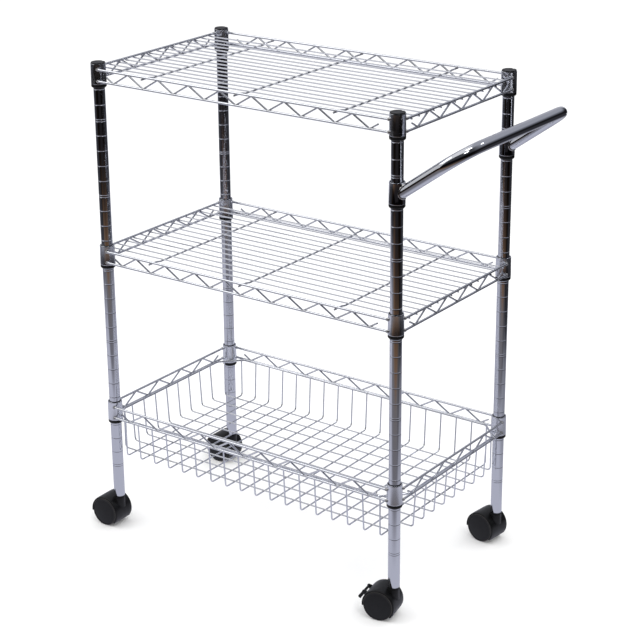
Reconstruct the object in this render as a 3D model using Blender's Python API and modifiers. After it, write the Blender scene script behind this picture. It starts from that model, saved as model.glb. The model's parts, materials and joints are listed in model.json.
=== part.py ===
"""Wire shelf cart: two wire shelves and a wire basket on four round posts.

The posts stand in twin-wheel casters, a tube handle is clamped to the two
posts of the right-hand end, and split plastic sleeves wedge every collar on
its post. Metres, +Z up, the long side along X and the handle at +X. The
origin is on the floor, under the middle of the whole cart.
"""

import math

import bmesh
import bpy
from mathutils import Matrix, Vector

# Overall sizes.
POST_SPACING_X = 0.570
POST_SPACING_Y = 0.316
POST_LENGTH = 0.762
GROOVE_PITCH = 0.0254

# Clearances.
GAP = 0.0003
RUNNING_GAP = 0.0006

# Posts and what is fitted in their ends.
POST_RADIUS = 0.0095
POST_WALL = 0.0012
CAP_OVERHANG = 0.0021
CAP_THICKNESS = 0.0025
CAP_CHAMFER = 0.0008
CAP_PLUG_LENGTH = 0.012
SOCKET_LENGTH = 0.030
SOCKET_RIM = 0.0016

# Collars and the sleeves that wedge them.
SLEEVE_WALL = 0.0012
COLLAR_WALL = 0.0014
COLLAR_HEIGHT = 0.033
COLLAR_TAPER = 0.0004
SLEEVE_RIM_HEIGHT = 0.0055
SLEEVE_RIM_CHAMFER = 0.0015

# The top tier's collars end level with the posts. The handle and the middle
# tier hang below them by whole grooves, and the basket's collars end a number
# of grooves above the posts' feet.
HANDLE_GROOVES_DOWN = 4
MIDDLE_GROOVES_DOWN = 12
BASKET_GROOVES_UP = 7

# Frame of a tier: two rods on each side with a zigzag wire between them.
ROD_RADIUS = 0.0020
ROD_INSET = 0.0022
ROD_END_ABOVE_BORE = 0.00037
LOWER_ROD_HEIGHT = 0.0055
ROD_RISE = 0.0190
ZIGZAG_RADIUS = 0.0015
ZIGZAG_BAYS_X = 8
ZIGZAG_BAYS_Y = 4
ZIGZAG_END_X = 0.0410
ZIGZAG_END_Y = 0.0360
ZIGZAG_DROP = 0.0006

# Wire deck of the two shelves.
DECK_WIRE_RADIUS = 0.00125
DECK_WIRE_COUNT = 15
DECK_EDGE = 0.0194
SUPPORT_RADIUS = 0.0015
SUPPORT_BAYS = (-3, 0, 3)
SUPPORT_RAMP = (0.0040, 0.0140)
WELD_DEPTH = 0.0004

# Wire basket hung in the lowest frame.
BASKET_DEPTH = 0.0690
BASKET_WIRE_RADIUS = 0.00125
RIM_WIRE_RADIUS = 0.00175
RIM_CLEARANCE = 0.00114
BASKET_LEAN = 0.0040
BASKET_BEND = 0.0060
BASKET_WIRES_ALONG_X = 10
BASKET_WIRES_ALONG_Y = 18
BASKET_EDGE_X = 0.0250
BASKET_EDGE_Y = 0.0194
BASKET_BEND_STEPS = 2

# Push handle.
HANDLE_RADIUS = 0.0090
HANDLE_WALL = 0.0012
HANDLE_REACH = 0.112
HANDLE_RISE = 0.081
HANDLE_BEND = 0.048
HANDLE_ROOT_HEIGHT = 0.0110
HANDLE_BEND_STEPS = 6

# Casters.
WHEEL_RADIUS = 0.0250
WHEEL_WIDTH = 0.0162
WHEEL_EDGE = 0.0015
CASTER_HALF_WIDTH = 0.0225
CASTER_TRAIL = 0.0190
AXLE_RADIUS = 0.0025
AXLE_COVER = 0.0045
STEM_RADIUS = 0.0040
STEM_REACH = 0.0240
STEM_FOOT_HEIGHT = 0.0200
WHEEL_ROOM = 0.0010
WHEEL_SHOWS = 0.0010
HOOD_WALL = 0.0020
HOOD_FRONT_DEGREES = -38.0
HOOD_REAR_DEGREES = 186.0
WEB_FRONT_DEGREES = -36.0
WEB_REAR_DEGREES = 150.0
HUB_RADIUS = 0.0065
HUB_STEP = 0.0003
BOSS_RADIUS = 0.0088
BOSS_FOOT = 0.0080
POST_ABOVE_HOOD = 0.0025

# Brake lever behind one hood, its tip measured from its pin.
BRAKE_PIVOT_ABOVE_HOOD = 0.0036
BRAKE_PIVOT_DEGREES = 150.6
BRAKE_PIN_RADIUS = 0.0012
BRAKE_BARREL_RADIUS = 0.0022
BRAKE_HALF_WIDTH = 0.0085
BRAKE_EAR_RADIUS = 0.0030
BRAKE_EAR_THICKNESS = 0.0025
BRAKE_EAR_SPREAD_DEGREES = 9.0
BRAKE_EAR_ARC_DEGREES = (60.0, 240.0)
BRAKE_EAR_STEPS = 6
BRAKE_TIP = (-0.0105, -0.0135)
BRAKE_TAB_THICKNESS = 0.0030

# The way each caster has come to rest, as a turn about its own post.
CASTER_TURN_DEGREES = {
    "front_left": 1.6,
    "front_right": 11.0,
    "rear_left": -0.5,
    "rear_right": -6.5,
}
BRAKED_CASTER = "front_right"

# Sides of the faceted solids.
ROUND_SIDES = 14
WHEEL_SIDES = 20
HOOD_STEPS = 12
TUBE_RESOLUTION = 4
MERGE_DISTANCE = 0.00001
SMOOTH_BELOW_DEGREES = 35.0
QUARTER_TURN = math.radians(90.0)

# Half the diagonal of a square with the same area as a circle of radius 1, and
# the twist that lays a square wire flat.
SQUARE_FOR_ROUND = math.sqrt(math.pi / 2)
SQUARE_TWIST = math.radians(45.0)

# What follows from the sizes above.
COLLAR_BORE = POST_RADIUS + GAP + SLEEVE_WALL + GAP
COLLAR_RADIUS = COLLAR_BORE + COLLAR_WALL
CAP_RADIUS = POST_RADIUS + CAP_OVERHANG
ROD_OFFSET = COLLAR_RADIUS - ROD_INSET
ROD_END = math.sqrt((COLLAR_BORE + ROD_END_ABOVE_BORE) ** 2 - (ROD_OFFSET - ROD_RADIUS) ** 2)
RIM_STRAIGHT = ROD_OFFSET - ROD_RADIUS - GAP - RIM_WIRE_RADIUS
RIM_CORNER = RIM_STRAIGHT + math.sqrt(2.0) * (COLLAR_RADIUS + RIM_CLEARANCE + RIM_WIRE_RADIUS)
HOOD_RADIUS = WHEEL_RADIUS + WHEEL_ROOM + HOOD_WALL
HOOD_HALF_WIDTH = CASTER_HALF_WIDTH - WHEEL_SHOWS
WEB_HALF_WIDTH = CASTER_HALF_WIDTH - WHEEL_WIDTH - RUNNING_GAP - HUB_STEP
AXLE_HALF_LENGTH = CASTER_HALF_WIDTH - AXLE_COVER
BRAKE_PIVOT_DISTANCE = HOOD_RADIUS + BRAKE_PIVOT_ABOVE_HOOD
POST_FOOT_HEIGHT = WHEEL_RADIUS + HOOD_RADIUS + POST_ABOVE_HOOD
POST_TOP = POST_FOOT_HEIGHT + POST_LENGTH
TOP_COLLAR = POST_TOP - COLLAR_HEIGHT
HANDLE_COLLAR = TOP_COLLAR - HANDLE_GROOVES_DOWN * GROOVE_PITCH
MIDDLE_COLLAR = TOP_COLLAR - MIDDLE_GROOVES_DOWN * GROOVE_PITCH
BASKET_COLLAR = POST_FOOT_HEIGHT + BASKET_GROOVES_UP * GROOVE_PITCH - COLLAR_HEIGHT
HALF_X = POST_SPACING_X / 2
HALF_Y = POST_SPACING_Y / 2
LEFT_END = -HALF_X - CASTER_TRAIL - HOOD_RADIUS
RIGHT_END = HALF_X + HANDLE_REACH + HANDLE_RADIUS
POST_CENTRE_X = -(LEFT_END + RIGHT_END) / 2

CORNERS = {
    "front_left": (-1, -1),
    "front_right": (1, -1),
    "rear_left": (-1, 1),
    "rear_right": (1, 1),
}

COLOURS = {
    "chrome": ((0.72, 0.72, 0.74), 0.12, 1.0),
    "steel": ((0.55, 0.55, 0.56), 0.35, 1.0),
    "black_plastic": ((0.012, 0.012, 0.013), 0.45, 0.0),
    "wheel_nylon": ((0.018, 0.018, 0.020), 0.40, 0.0),
}


def clear_scene():
    for obj in list(bpy.data.objects):
        bpy.data.objects.remove(obj, do_unlink=True)


def collection(name):
    made = bpy.data.collections.new(name)
    bpy.context.scene.collection.children.link(made)
    return made


clear_scene()
CART = collection("wire_shelf_cart")
TOOLS = collection("cutters")


def material(name, finish):
    """A Principled material of its own for one piece."""
    colour, roughness, metallic = COLOURS[finish]
    made = bpy.data.materials.new(name)
    made.use_nodes = True
    shader = made.node_tree.nodes["Principled BSDF"]
    shader.inputs["Base Color"].default_value = (*colour, 1.0)
    shader.inputs["Roughness"].default_value = roughness
    shader.inputs["Metallic"].default_value = metallic
    return made


def post_place(corner):
    """Axis of a post on the floor."""
    side_x, side_y = CORNERS[corner]
    return Vector((POST_CENTRE_X + side_x * HALF_X, side_y * HALF_Y, 0.0))


# Solids


def object_from(bm, name, target=TOOLS):
    mesh = bpy.data.meshes.new(name)
    bm.to_mesh(mesh)
    bm.free()
    obj = bpy.data.objects.new(name, mesh)
    target.objects.link(obj)
    return obj


def applied(obj, name):
    """The evaluated shape of an object as a plain mesh object, welded shut."""
    bpy.context.view_layer.update()
    seen = obj.evaluated_get(bpy.context.evaluated_depsgraph_get())
    mesh = bpy.data.meshes.new_from_object(seen)
    bm = bmesh.new()
    bm.from_mesh(mesh)
    bmesh.ops.transform(bm, matrix=obj.matrix_world, verts=bm.verts)
    bmesh.ops.remove_doubles(bm, verts=bm.verts, dist=MERGE_DISTANCE)
    bpy.data.objects.remove(obj, do_unlink=True)
    bpy.data.meshes.remove(mesh)
    return object_from(bm, name)


def turned(name, profile, closed=False, sides=ROUND_SIDES):
    """A profile of (radius, height) points turned about Z.

    A solid's profile runs from the axis at the top down its outer side to the
    axis at the bottom. A ring's profile is closed: down its outer side, then
    up its inner side.
    """
    bm = bmesh.new()
    verts = [bm.verts.new((radius, 0.0, height)) for radius, height in profile]
    for first, second in zip(verts, verts[1:]):
        bm.edges.new((first, second))
    if closed:
        bm.edges.new((verts[-1], verts[0]))
    obj = object_from(bm, name)
    screw = obj.modifiers.new("turn", "SCREW")
    screw.axis = "Z"
    screw.steps = sides
    screw.render_steps = sides
    screw.use_merge_vertices = True
    screw.merge_threshold = MERGE_DISTANCE
    return applied(obj, name)


def ring(name, outer, inner, low, high, taper=0.0):
    """A tube between two heights, narrower by the taper at its top."""
    profile = [(outer - taper, high), (outer, low), (inner, low), (inner - taper, high)]
    return turned(name, profile, closed=True)


def plate(name, outline, half_thickness):
    """A flat outline in X and Y, extruded to both sides of the plane."""
    curve = bpy.data.curves.new(name, "CURVE")
    curve.dimensions = "2D"
    curve.fill_mode = "BOTH"
    curve.extrude = half_thickness
    spline = curve.splines.new("POLY")
    spline.points.add(len(outline) - 1)
    for point, (x, y) in zip(spline.points, outline):
        point.co = (x, y, 0.0, 1.0)
    spline.use_cyclic_u = True
    obj = bpy.data.objects.new(name, curve)
    TOOLS.objects.link(obj)
    return applied(obj, name)


def swept(name, paths, radius, resolution, tilt=0.0, closed=False):
    """A section carried along point lists, as one mesh of separate solids."""
    curve = bpy.data.curves.new(name, "CURVE")
    curve.dimensions = "3D"
    curve.bevel_depth = radius
    curve.bevel_resolution = resolution
    curve.use_fill_caps = True
    for path in paths:
        spline = curve.splines.new("POLY")
        spline.points.add(len(path) - 1)
        for point, place in zip(spline.points, path):
            point.co = (*place, 1.0)
            point.tilt = tilt
        spline.use_cyclic_u = closed
    obj = bpy.data.objects.new(name, curve)
    TOOLS.objects.link(obj)
    return applied(obj, name)


def wires(name, paths, radius, closed=False):
    """Thin wires, each a square section with the area of the round wire."""
    return swept(name, paths, radius * SQUARE_FOR_ROUND, 0, SQUARE_TWIST, closed)


def tube(name, path, radius):
    return swept(name, [path], radius, TUBE_RESOLUTION)


def merged(first, second, operation="UNION"):
    """One solid from two: joined, or the first cut by the second."""
    name = first.name
    boolean = first.modifiers.new("merge", "BOOLEAN")
    boolean.operation = operation
    boolean.solver = "EXACT"
    boolean.object = second
    result = applied(first, name)
    bpy.data.objects.remove(second, do_unlink=True)
    return result


def cut(first, second):
    return merged(first, second, "DIFFERENCE")


def moved(obj, matrix):
    obj.data.transform(matrix)
    return obj


def copies(obj, name, offsets):
    """The same solid at several places, as one mesh."""
    bm = bmesh.new()
    for offset in offsets:
        bm.from_mesh(obj.data)
        fresh = bm.verts[-len(obj.data.vertices):]
        bmesh.ops.translate(bm, vec=offset, verts=fresh)
    bpy.data.objects.remove(obj, do_unlink=True)
    return object_from(bm, name)


def piece(obj, name, finish, parent=None, place=(0.0, 0.0, 0.0)):
    """Hand a finished solid over to the cart under its own name."""
    TOOLS.objects.unlink(obj)
    CART.objects.link(obj)
    obj.name = name
    obj.data.name = name
    obj.location = place
    obj.parent = parent
    obj.data.materials.clear()
    obj.data.materials.append(material(name, finish))
    obj.data.shade_smooth()
    obj.data.set_sharp_from_angle(angle=math.radians(SMOOTH_BELOW_DEGREES))


def spread(count, half_span):
    """Evenly spaced places from -half_span to +half_span."""
    step = 2 * half_span / (count - 1)
    return [-half_span + step * index for index in range(count)]


# Posts


def make_posts():
    """Open steel tubes with a cap on top and a caster socket below."""
    bore = POST_RADIUS - POST_WALL
    for corner in CORNERS:
        place = post_place(corner)
        post = ring("post", POST_RADIUS, bore, POST_FOOT_HEIGHT, POST_TOP)
        piece(post, f"post_{corner}", "chrome", place=place)
        make_cap(corner, place, bore)
        make_socket(corner, place, bore)


def make_cap(corner, place, bore):
    """A plug in the tube under a disc that rests on its end."""
    disc = POST_TOP + GAP
    plug = bore - GAP
    top = disc + CAP_THICKNESS
    profile = [
        (0.0, top),
        (CAP_RADIUS - CAP_CHAMFER, top),
        (CAP_RADIUS, top - CAP_CHAMFER),
        (CAP_RADIUS, disc),
        (plug, disc),
        (plug, disc - CAP_PLUG_LENGTH),
        (0.0, disc - CAP_PLUG_LENGTH),
    ]
    piece(turned("cap", profile), f"post_cap_{corner}", "black_plastic", place=place)


def make_socket(corner, place, bore):
    """A plastic bush in the tube's foot that the caster's stem runs in."""
    outer = bore - GAP
    inner = STEM_RADIUS + RUNNING_GAP
    rim = POST_FOOT_HEIGHT - GAP
    profile = [
        (outer, rim + SOCKET_LENGTH),
        (outer, rim),
        (POST_RADIUS, rim),
        (POST_RADIUS, rim - SOCKET_RIM),
        (inner, rim - SOCKET_RIM),
        (inner, rim + SOCKET_LENGTH),
    ]
    bush = turned("socket", profile, closed=True)
    piece(bush, f"caster_socket_{corner}", "black_plastic", place=place)


# Tiers


def collar(name, height):
    """Slightly tapered steel collar with its lower end at a height."""
    return ring(name, COLLAR_RADIUS, COLLAR_BORE, height, height + COLLAR_HEIGHT, COLLAR_TAPER)


def make_sleeves(tier, height, corners):
    """Split plastic sleeves between post and collar, with a rim below it."""
    outer = COLLAR_BORE - GAP
    inner = POST_RADIUS + GAP
    rim = COLLAR_RADIUS - GAP
    rim_top = height - GAP
    rim_low = rim_top - SLEEVE_RIM_HEIGHT
    profile = [
        (outer - COLLAR_TAPER, height + COLLAR_HEIGHT),
        (outer, rim_top),
        (rim, rim_top),
        (rim, rim_low + SLEEVE_RIM_CHAMFER),
        (rim - SLEEVE_RIM_CHAMFER, rim_low),
        (inner, rim_low),
        (inner, height + COLLAR_HEIGHT),
    ]
    for corner in corners:
        sleeve = turned("sleeve", profile, closed=True)
        piece(sleeve, f"sleeve_{tier}_{corner}", "black_plastic", place=post_place(corner))


def zigzag_path(half, end, bays, low, high):
    """Zigzag along X from one end stub to the other."""
    pitch = 2 * (half - end) / bays
    middle = (low + high) / 2
    points = [(-half + end - pitch / 4, middle)]
    for bay in range(bays):
        left = -half + end + pitch * bay
        points.append((left, low))
        points.append((left + pitch / 2, high))
    points.append((half - end, low))
    points.append((half - end + pitch / 4, middle))
    return points


def make_frame(tier, height):
    """Collars, rods and zigzags of one tier, welded into one frame."""
    low = height + LOWER_ROD_HEIGHT
    high = low + ROD_RISE
    out_x = HALF_X + ROD_OFFSET
    out_y = HALF_Y + ROD_OFFSET
    end_x = HALF_X - ROD_END
    end_y = HALF_Y - ROD_END
    zig_low = low + ZIGZAG_DROP
    zig_high = high - ZIGZAG_DROP
    long_zigzag = zigzag_path(HALF_X, ZIGZAG_END_X, ZIGZAG_BAYS_X, zig_low, zig_high)
    short_zigzag = zigzag_path(HALF_Y, ZIGZAG_END_Y, ZIGZAG_BAYS_Y, zig_low, zig_high)
    ends = []
    paths = []
    for side in (-1, 1):
        for level in (low, high):
            ends.append(((-end_x, side * out_y, level), (end_x, side * out_y, level)))
            ends.append(((side * out_x, -end_y, level), (side * out_x, end_y, level)))
        paths.append([(x, side * out_y, z) for x, z in long_zigzag])
        paths.append([(side * out_x, y, z) for y, z in short_zigzag])
    places = [(sx * HALF_X, sy * HALF_Y, 0.0) for sx, sy in CORNERS.values()]
    collars = copies(collar("collar", height), "collars", places)
    frame = merged(wires("rods", ends, ROD_RADIUS), wires("zigzags", paths, ZIGZAG_RADIUS))
    frame = merged(collars, frame)
    piece(frame, f"frame_{tier}", "chrome", place=(POST_CENTRE_X, 0.0, 0.0))


def make_deck(tier, height):
    """Long wires welded on three cross supports, hung under the upper rods."""
    under_rods = height + LOWER_ROD_HEIGHT + ROD_RISE - ROD_RADIUS - GAP
    wire_level = under_rods - DECK_WIRE_RADIUS
    support_end = under_rods - SUPPORT_RADIUS
    support_level = wire_level - DECK_WIRE_RADIUS - SUPPORT_RADIUS + WELD_DEPTH
    reach_x = HALF_X + ROD_OFFSET - ROD_RADIUS
    reach_y = HALF_Y + ROD_OFFSET + ROD_RADIUS
    places = spread(DECK_WIRE_COUNT, HALF_Y - DECK_EDGE)
    ends = [((-reach_x, y, wire_level), (reach_x, y, wire_level)) for y in places]
    ramp_out, ramp_in = SUPPORT_RAMP
    across = [
        (-reach_y, support_end),
        (-HALF_Y + ramp_out, support_end),
        (-HALF_Y + ramp_in, support_level),
        (HALF_Y - ramp_in, support_level),
        (HALF_Y - ramp_out, support_end),
        (reach_y, support_end),
    ]
    pitch = 2 * (HALF_X - ZIGZAG_END_X) / ZIGZAG_BAYS_X
    supports = [[(bay * pitch, y, z) for y, z in across] for bay in SUPPORT_BAYS]
    deck = merged(
        wires("wires", ends, DECK_WIRE_RADIUS),
        wires("supports", supports, SUPPORT_RADIUS),
    )
    piece(deck, f"deck_{tier}", "chrome", place=(POST_CENTRE_X, 0.0, 0.0))


# Basket


def rim_offset(from_post):
    """How far the rim wire lies outside the post axes, by distance along a side.

    It is straight along the rod and cuts the corner inside each collar.
    """
    return RIM_STRAIGHT - max(0.0, RIM_CORNER - from_post)


def basket_wire(half_across, from_post, rim_level, floor_level):
    """U shape across the basket as (place, height) points with round bends."""
    top = rim_offset(from_post)
    foot = min(top, RIM_STRAIGHT - BASKET_LEAN)
    centre = half_across + foot - BASKET_BEND
    bend = []
    for step in range(BASKET_BEND_STEPS + 1):
        angle = QUARTER_TURN * step / BASKET_BEND_STEPS
        across = centre + BASKET_BEND * math.cos(angle)
        bend.append((across, floor_level + BASKET_BEND * (1 - math.sin(angle))))
    right = [(half_across + top, rim_level), *bend]
    left = [(-across, height) for across, height in reversed(right)]
    return right + left


def make_basket():
    """Rim wire inside the lowest rods, with U-shaped wires both ways."""
    rim_level = BASKET_COLLAR + LOWER_ROD_HEIGHT
    floor_level = rim_level - BASKET_DEPTH
    lift = 2 * BASKET_WIRE_RADIUS + GAP
    side_x = HALF_X + RIM_STRAIGHT
    side_y = HALF_Y + RIM_STRAIGHT
    turn_x = HALF_X - RIM_CORNER
    turn_y = HALF_Y - RIM_CORNER
    rim = [
        (turn_x, side_y, rim_level),
        (-turn_x, side_y, rim_level),
        (-side_x, turn_y, rim_level),
        (-side_x, -turn_y, rim_level),
        (-turn_x, -side_y, rim_level),
        (turn_x, -side_y, rim_level),
        (side_x, -turn_y, rim_level),
        (side_x, turn_y, rim_level),
    ]
    along_y = []
    for x in spread(BASKET_WIRES_ALONG_Y, HALF_X - BASKET_EDGE_X):
        shape = basket_wire(HALF_Y, HALF_X - abs(x), rim_level, floor_level)
        along_y.append([(x, y, z) for y, z in shape])
    along_x = []
    for y in spread(BASKET_WIRES_ALONG_X, HALF_Y - BASKET_EDGE_Y):
        shape = basket_wire(HALF_X, HALF_Y - abs(y), rim_level, floor_level + lift)
        along_x.append([(x, y, z) for x, z in shape])
    basket = merged(
        wires("along_y", along_y, BASKET_WIRE_RADIUS),
        wires("along_x", along_x, BASKET_WIRE_RADIUS),
    )
    basket = merged(basket, wires("rim", [rim], RIM_WIRE_RADIUS, closed=True))
    piece(basket, "basket_wires", "chrome", place=(POST_CENTRE_X, 0.0, 0.0))


# Handle


def handle_path():
    """Up and out from one collar, across, and back to the other."""
    root = Vector((HALF_X, -HALF_Y, HANDLE_COLLAR + HANDLE_ROOT_HEIGHT))
    slope = Vector((HANDLE_REACH, 0.0, HANDLE_RISE))
    corner = root + slope
    rise = slope.normalized()
    back = -rise
    across = Vector((0.0, 1.0, 0.0))
    centre = corner + HANDLE_BEND * (back + across)
    bend = []
    for step in range(HANDLE_BEND_STEPS + 1):
        angle = QUARTER_TURN * step / HANDLE_BEND_STEPS
        bend.append(centre - HANDLE_BEND * (across * math.cos(angle) + back * math.sin(angle)))
    inside_bore = COLLAR_BORE - COLLAR_WALL
    start = root + rise * (inside_bore - HANDLE_RADIUS * rise.z) / rise.x
    near = [start, *bend]
    far = [Vector((point.x, -point.y, point.z)) for point in reversed(near)]
    return near + far


def make_handle():
    """Bent tube welded to two collars of its own, hollow into their bores."""
    path = handle_path()
    top = HANDLE_COLLAR + COLLAR_HEIGHT
    blank = [(0.0, top), (COLLAR_RADIUS - COLLAR_TAPER, top),
             (COLLAR_RADIUS, HANDLE_COLLAR), (0.0, HANDLE_COLLAR)]
    passage = [(0.0, top + GAP), (COLLAR_BORE - COLLAR_TAPER, top + GAP),
               (COLLAR_BORE, HANDLE_COLLAR - GAP), (0.0, HANDLE_COLLAR - GAP)]
    places = [(HALF_X, side * HALF_Y, 0.0) for side in (-1, 1)]
    handle = merged(
        copies(turned("handle", blank), "handle", places),
        tube("tube", path, HANDLE_RADIUS),
    )
    bore = HANDLE_RADIUS - HANDLE_WALL
    handle = cut(handle, tube("bore", path, bore))
    handle = cut(handle, copies(turned("passage", passage), "passages", places))
    piece(handle, "handle", "chrome", place=(POST_CENTRE_X, 0.0, 0.0))


# Casters. Each is made with its stem on Z, its axle at -X and its wheels on
# the floor, and then turned about its own post.


def around_axle(radius, degrees):
    """Point at an angle about the axle, from the front round over the top."""
    angle = math.radians(degrees)
    return radius * math.cos(angle), radius * math.sin(angle)


def arc(radius, start_degrees, end_degrees, steps=HOOD_STEPS):
    span = end_degrees - start_degrees
    return [around_axle(radius, start_degrees + span * step / steps) for step in range(steps + 1)]


def side_plate(name, outline, half_thickness):
    """An outline in the wheel's plane, thick along the axle."""
    return moved(plate(name, outline, half_thickness), Matrix.Rotation(QUARTER_TURN, 4, "X"))


def about_axle(name, profile, sides=ROUND_SIDES):
    """A turned solid with its top end at -Y."""
    return moved(turned(name, profile, sides=sides), Matrix.Rotation(QUARTER_TURN, 4, "X"))


def pin(name, radius, low, high, place=(0.0, 0.0)):
    """Upright round pin between two heights."""
    shape = turned(name, [(0.0, high), (radius, high), (radius, low), (0.0, low)])
    return moved(shape, Matrix.Translation((*place, 0.0)))


def cross_pin(name, radius, half_length, place=(0.0, 0.0)):
    """Round pin along Y, at a place in the wheel's plane."""
    profile = [(0.0, half_length), (radius, half_length), (radius, -half_length), (0.0, -half_length)]
    return moved(about_axle(name, profile), Matrix.Translation((place[0], 0.0, place[1])))


def make_hood():
    """Cover over both wheels, with the web and the stem's boss, about the axle."""
    wall_middle = HOOD_RADIUS - HOOD_WALL / 2
    inner = HOOD_RADIUS - HOOD_WALL
    boss_top = POST_FOOT_HEIGHT - GAP - SOCKET_RIM - RUNNING_GAP - WHEEL_RADIUS
    outline = arc(HOOD_RADIUS, HOOD_FRONT_DEGREES, HOOD_REAR_DEGREES)
    outline += arc(inner, HOOD_REAR_DEGREES, HOOD_FRONT_DEGREES)
    web_outline = [(0.0, 0.0), *arc(wall_middle, WEB_FRONT_DEGREES, WEB_REAR_DEGREES)]
    stem_place = (CASTER_TRAIL, 0.0)
    boss = pin("boss", BOSS_RADIUS, BOSS_FOOT, boss_top, stem_place)
    boss = cut(boss, cross_pin("wheel_room", wall_middle, HOOD_HALF_WIDTH))
    hood = side_plate("hood", outline, HOOD_HALF_WIDTH)
    hood = merged(hood, side_plate("web", web_outline, WEB_HALF_WIDTH))
    hood = merged(hood, cross_pin("hub", HUB_RADIUS, WEB_HALF_WIDTH + HUB_STEP))
    hood = merged(hood, boss)
    stem_room = STEM_FOOT_HEIGHT - WHEEL_RADIUS
    hood = cut(hood, pin("stem_bore", STEM_RADIUS + GAP, stem_room, boss_top + GAP, stem_place))
    return cut(hood, cross_pin("axle_bore", AXLE_RADIUS + GAP, WHEEL_RADIUS))


def make_wheel(outward):
    """Wheel about the axle, with its blind bore open towards the web."""
    bore = AXLE_RADIUS + RUNNING_GAP
    near = CASTER_HALF_WIDTH - WHEEL_WIDTH
    far = CASTER_HALF_WIDTH
    profile = [
        (0.0, far),
        (WHEEL_RADIUS - WHEEL_EDGE, far),
        (WHEEL_RADIUS, far - WHEEL_EDGE),
        (WHEEL_RADIUS, near + WHEEL_EDGE),
        (WHEEL_RADIUS - WHEEL_EDGE, near),
        (bore, near),
        (bore, AXLE_HALF_LENGTH + RUNNING_GAP),
        (0.0, AXLE_HALF_LENGTH + RUNNING_GAP),
    ]
    wheel = turned("wheel", profile, sides=WHEEL_SIDES)
    return moved(wheel, Matrix.Rotation(-outward * QUARTER_TURN, 4, "X"))


def brake_pivot():
    return around_axle(BRAKE_PIVOT_DISTANCE, BRAKE_PIVOT_DEGREES)


def add_brake_ears(hood):
    """Two ears behind the hood that hold the brake lever's pin."""
    pivot_x, pivot_z = brake_pivot()
    root = HOOD_RADIUS - HOOD_WALL / 2
    rounded = arc(BRAKE_EAR_RADIUS, *BRAKE_EAR_ARC_DEGREES, BRAKE_EAR_STEPS)
    outline = [
        *[(pivot_x + x, pivot_z + z) for x, z in rounded],
        around_axle(root, BRAKE_PIVOT_DEGREES + BRAKE_EAR_SPREAD_DEGREES),
        around_axle(root, BRAKE_PIVOT_DEGREES - BRAKE_EAR_SPREAD_DEGREES),
    ]
    for side in (-1, 1):
        ear = side_plate("ear", outline, BRAKE_EAR_THICKNESS / 2)
        middle = BRAKE_HALF_WIDTH + RUNNING_GAP + BRAKE_EAR_THICKNESS / 2
        hood = merged(hood, moved(ear, Matrix.Translation((0.0, side * middle, 0.0))))
    hole = cross_pin("hole", BRAKE_PIN_RADIUS + GAP, HOOD_HALF_WIDTH, (pivot_x, pivot_z))
    return cut(hood, hole)


def make_brake_lever():
    """Foot lever about its own pin, which runs through both ears."""
    tip_x, tip_z = BRAKE_TIP
    length = math.hypot(tip_x, tip_z)
    side_x = -tip_z / length * BRAKE_TAB_THICKNESS / 2
    side_z = tip_x / length * BRAKE_TAB_THICKNESS / 2
    outline = [(side_x, side_z), (-side_x, -side_z), (tip_x - side_x, tip_z - side_z),
               (tip_x + side_x, tip_z + side_z)]
    lever = merged(
        side_plate("lever", outline, BRAKE_HALF_WIDTH - GAP),
        cross_pin("barrel", BRAKE_BARREL_RADIUS, BRAKE_HALF_WIDTH),
    )
    pin_half = BRAKE_HALF_WIDTH + RUNNING_GAP + BRAKE_EAR_THICKNESS
    return merged(lever, cross_pin("pin", BRAKE_PIN_RADIUS, pin_half))


def make_caster(corner):
    """Stem, hood, axle and two wheels under one swivelling empty."""
    swivel = bpy.data.objects.new(f"swivel_{corner}", None)
    CART.objects.link(swivel)
    swivel.location = post_place(corner)
    swivel.rotation_euler.z = math.radians(CASTER_TURN_DEGREES[corner])
    axle_place = (-CASTER_TRAIL, 0.0, WHEEL_RADIUS)
    stem = pin("stem", STEM_RADIUS, STEM_FOOT_HEIGHT + GAP, POST_FOOT_HEIGHT + STEM_REACH)
    piece(stem, f"caster_stem_{corner}", "steel", swivel)
    hood = make_hood()
    if corner == BRAKED_CASTER:
        hood = add_brake_ears(hood)
        pivot_x, pivot_z = brake_pivot()
        pivot_place = (pivot_x - CASTER_TRAIL, 0.0, pivot_z + WHEEL_RADIUS)
        piece(make_brake_lever(), f"brake_lever_{corner}", "black_plastic", swivel, pivot_place)
    piece(hood, f"caster_hood_{corner}", "black_plastic", swivel, axle_place)
    axle = cross_pin("axle", AXLE_RADIUS, AXLE_HALF_LENGTH)
    piece(axle, f"caster_axle_{corner}", "steel", swivel, axle_place)
    for side, outward in (("left", -1), ("right", 1)):
        name = f"wheel_{side}_{corner}"
        piece(make_wheel(outward), name, "wheel_nylon", swivel, axle_place)


def make_cart():
    make_posts()
    tiers = {"top": TOP_COLLAR, "middle": MIDDLE_COLLAR, "basket": BASKET_COLLAR}
    for tier, height in tiers.items():
        make_frame(tier, height)
        make_sleeves(tier, height, CORNERS)
    make_deck("top", TOP_COLLAR)
    make_deck("middle", MIDDLE_COLLAR)
    make_basket()
    make_sleeves("handle", HANDLE_COLLAR, ("front_right", "rear_right"))
    make_handle()
    for corner in CORNERS:
        make_caster(corner)


make_cart()
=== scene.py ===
# %% [markdown]
# # A chrome wire shelf cart, built from numpy surfaces
#
# The cart is a light rolling rack: two wire shelves over a wire basket, on four
# grooved chrome posts, with a bent tube handle and four twin-wheel casters.
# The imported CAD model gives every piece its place. This lesson makes the fine
# surface of each piece as a formula on a grid, and then its finish.

import json
import math

import bpy
import numpy as np
from mathutils import Matrix, Vector


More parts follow.
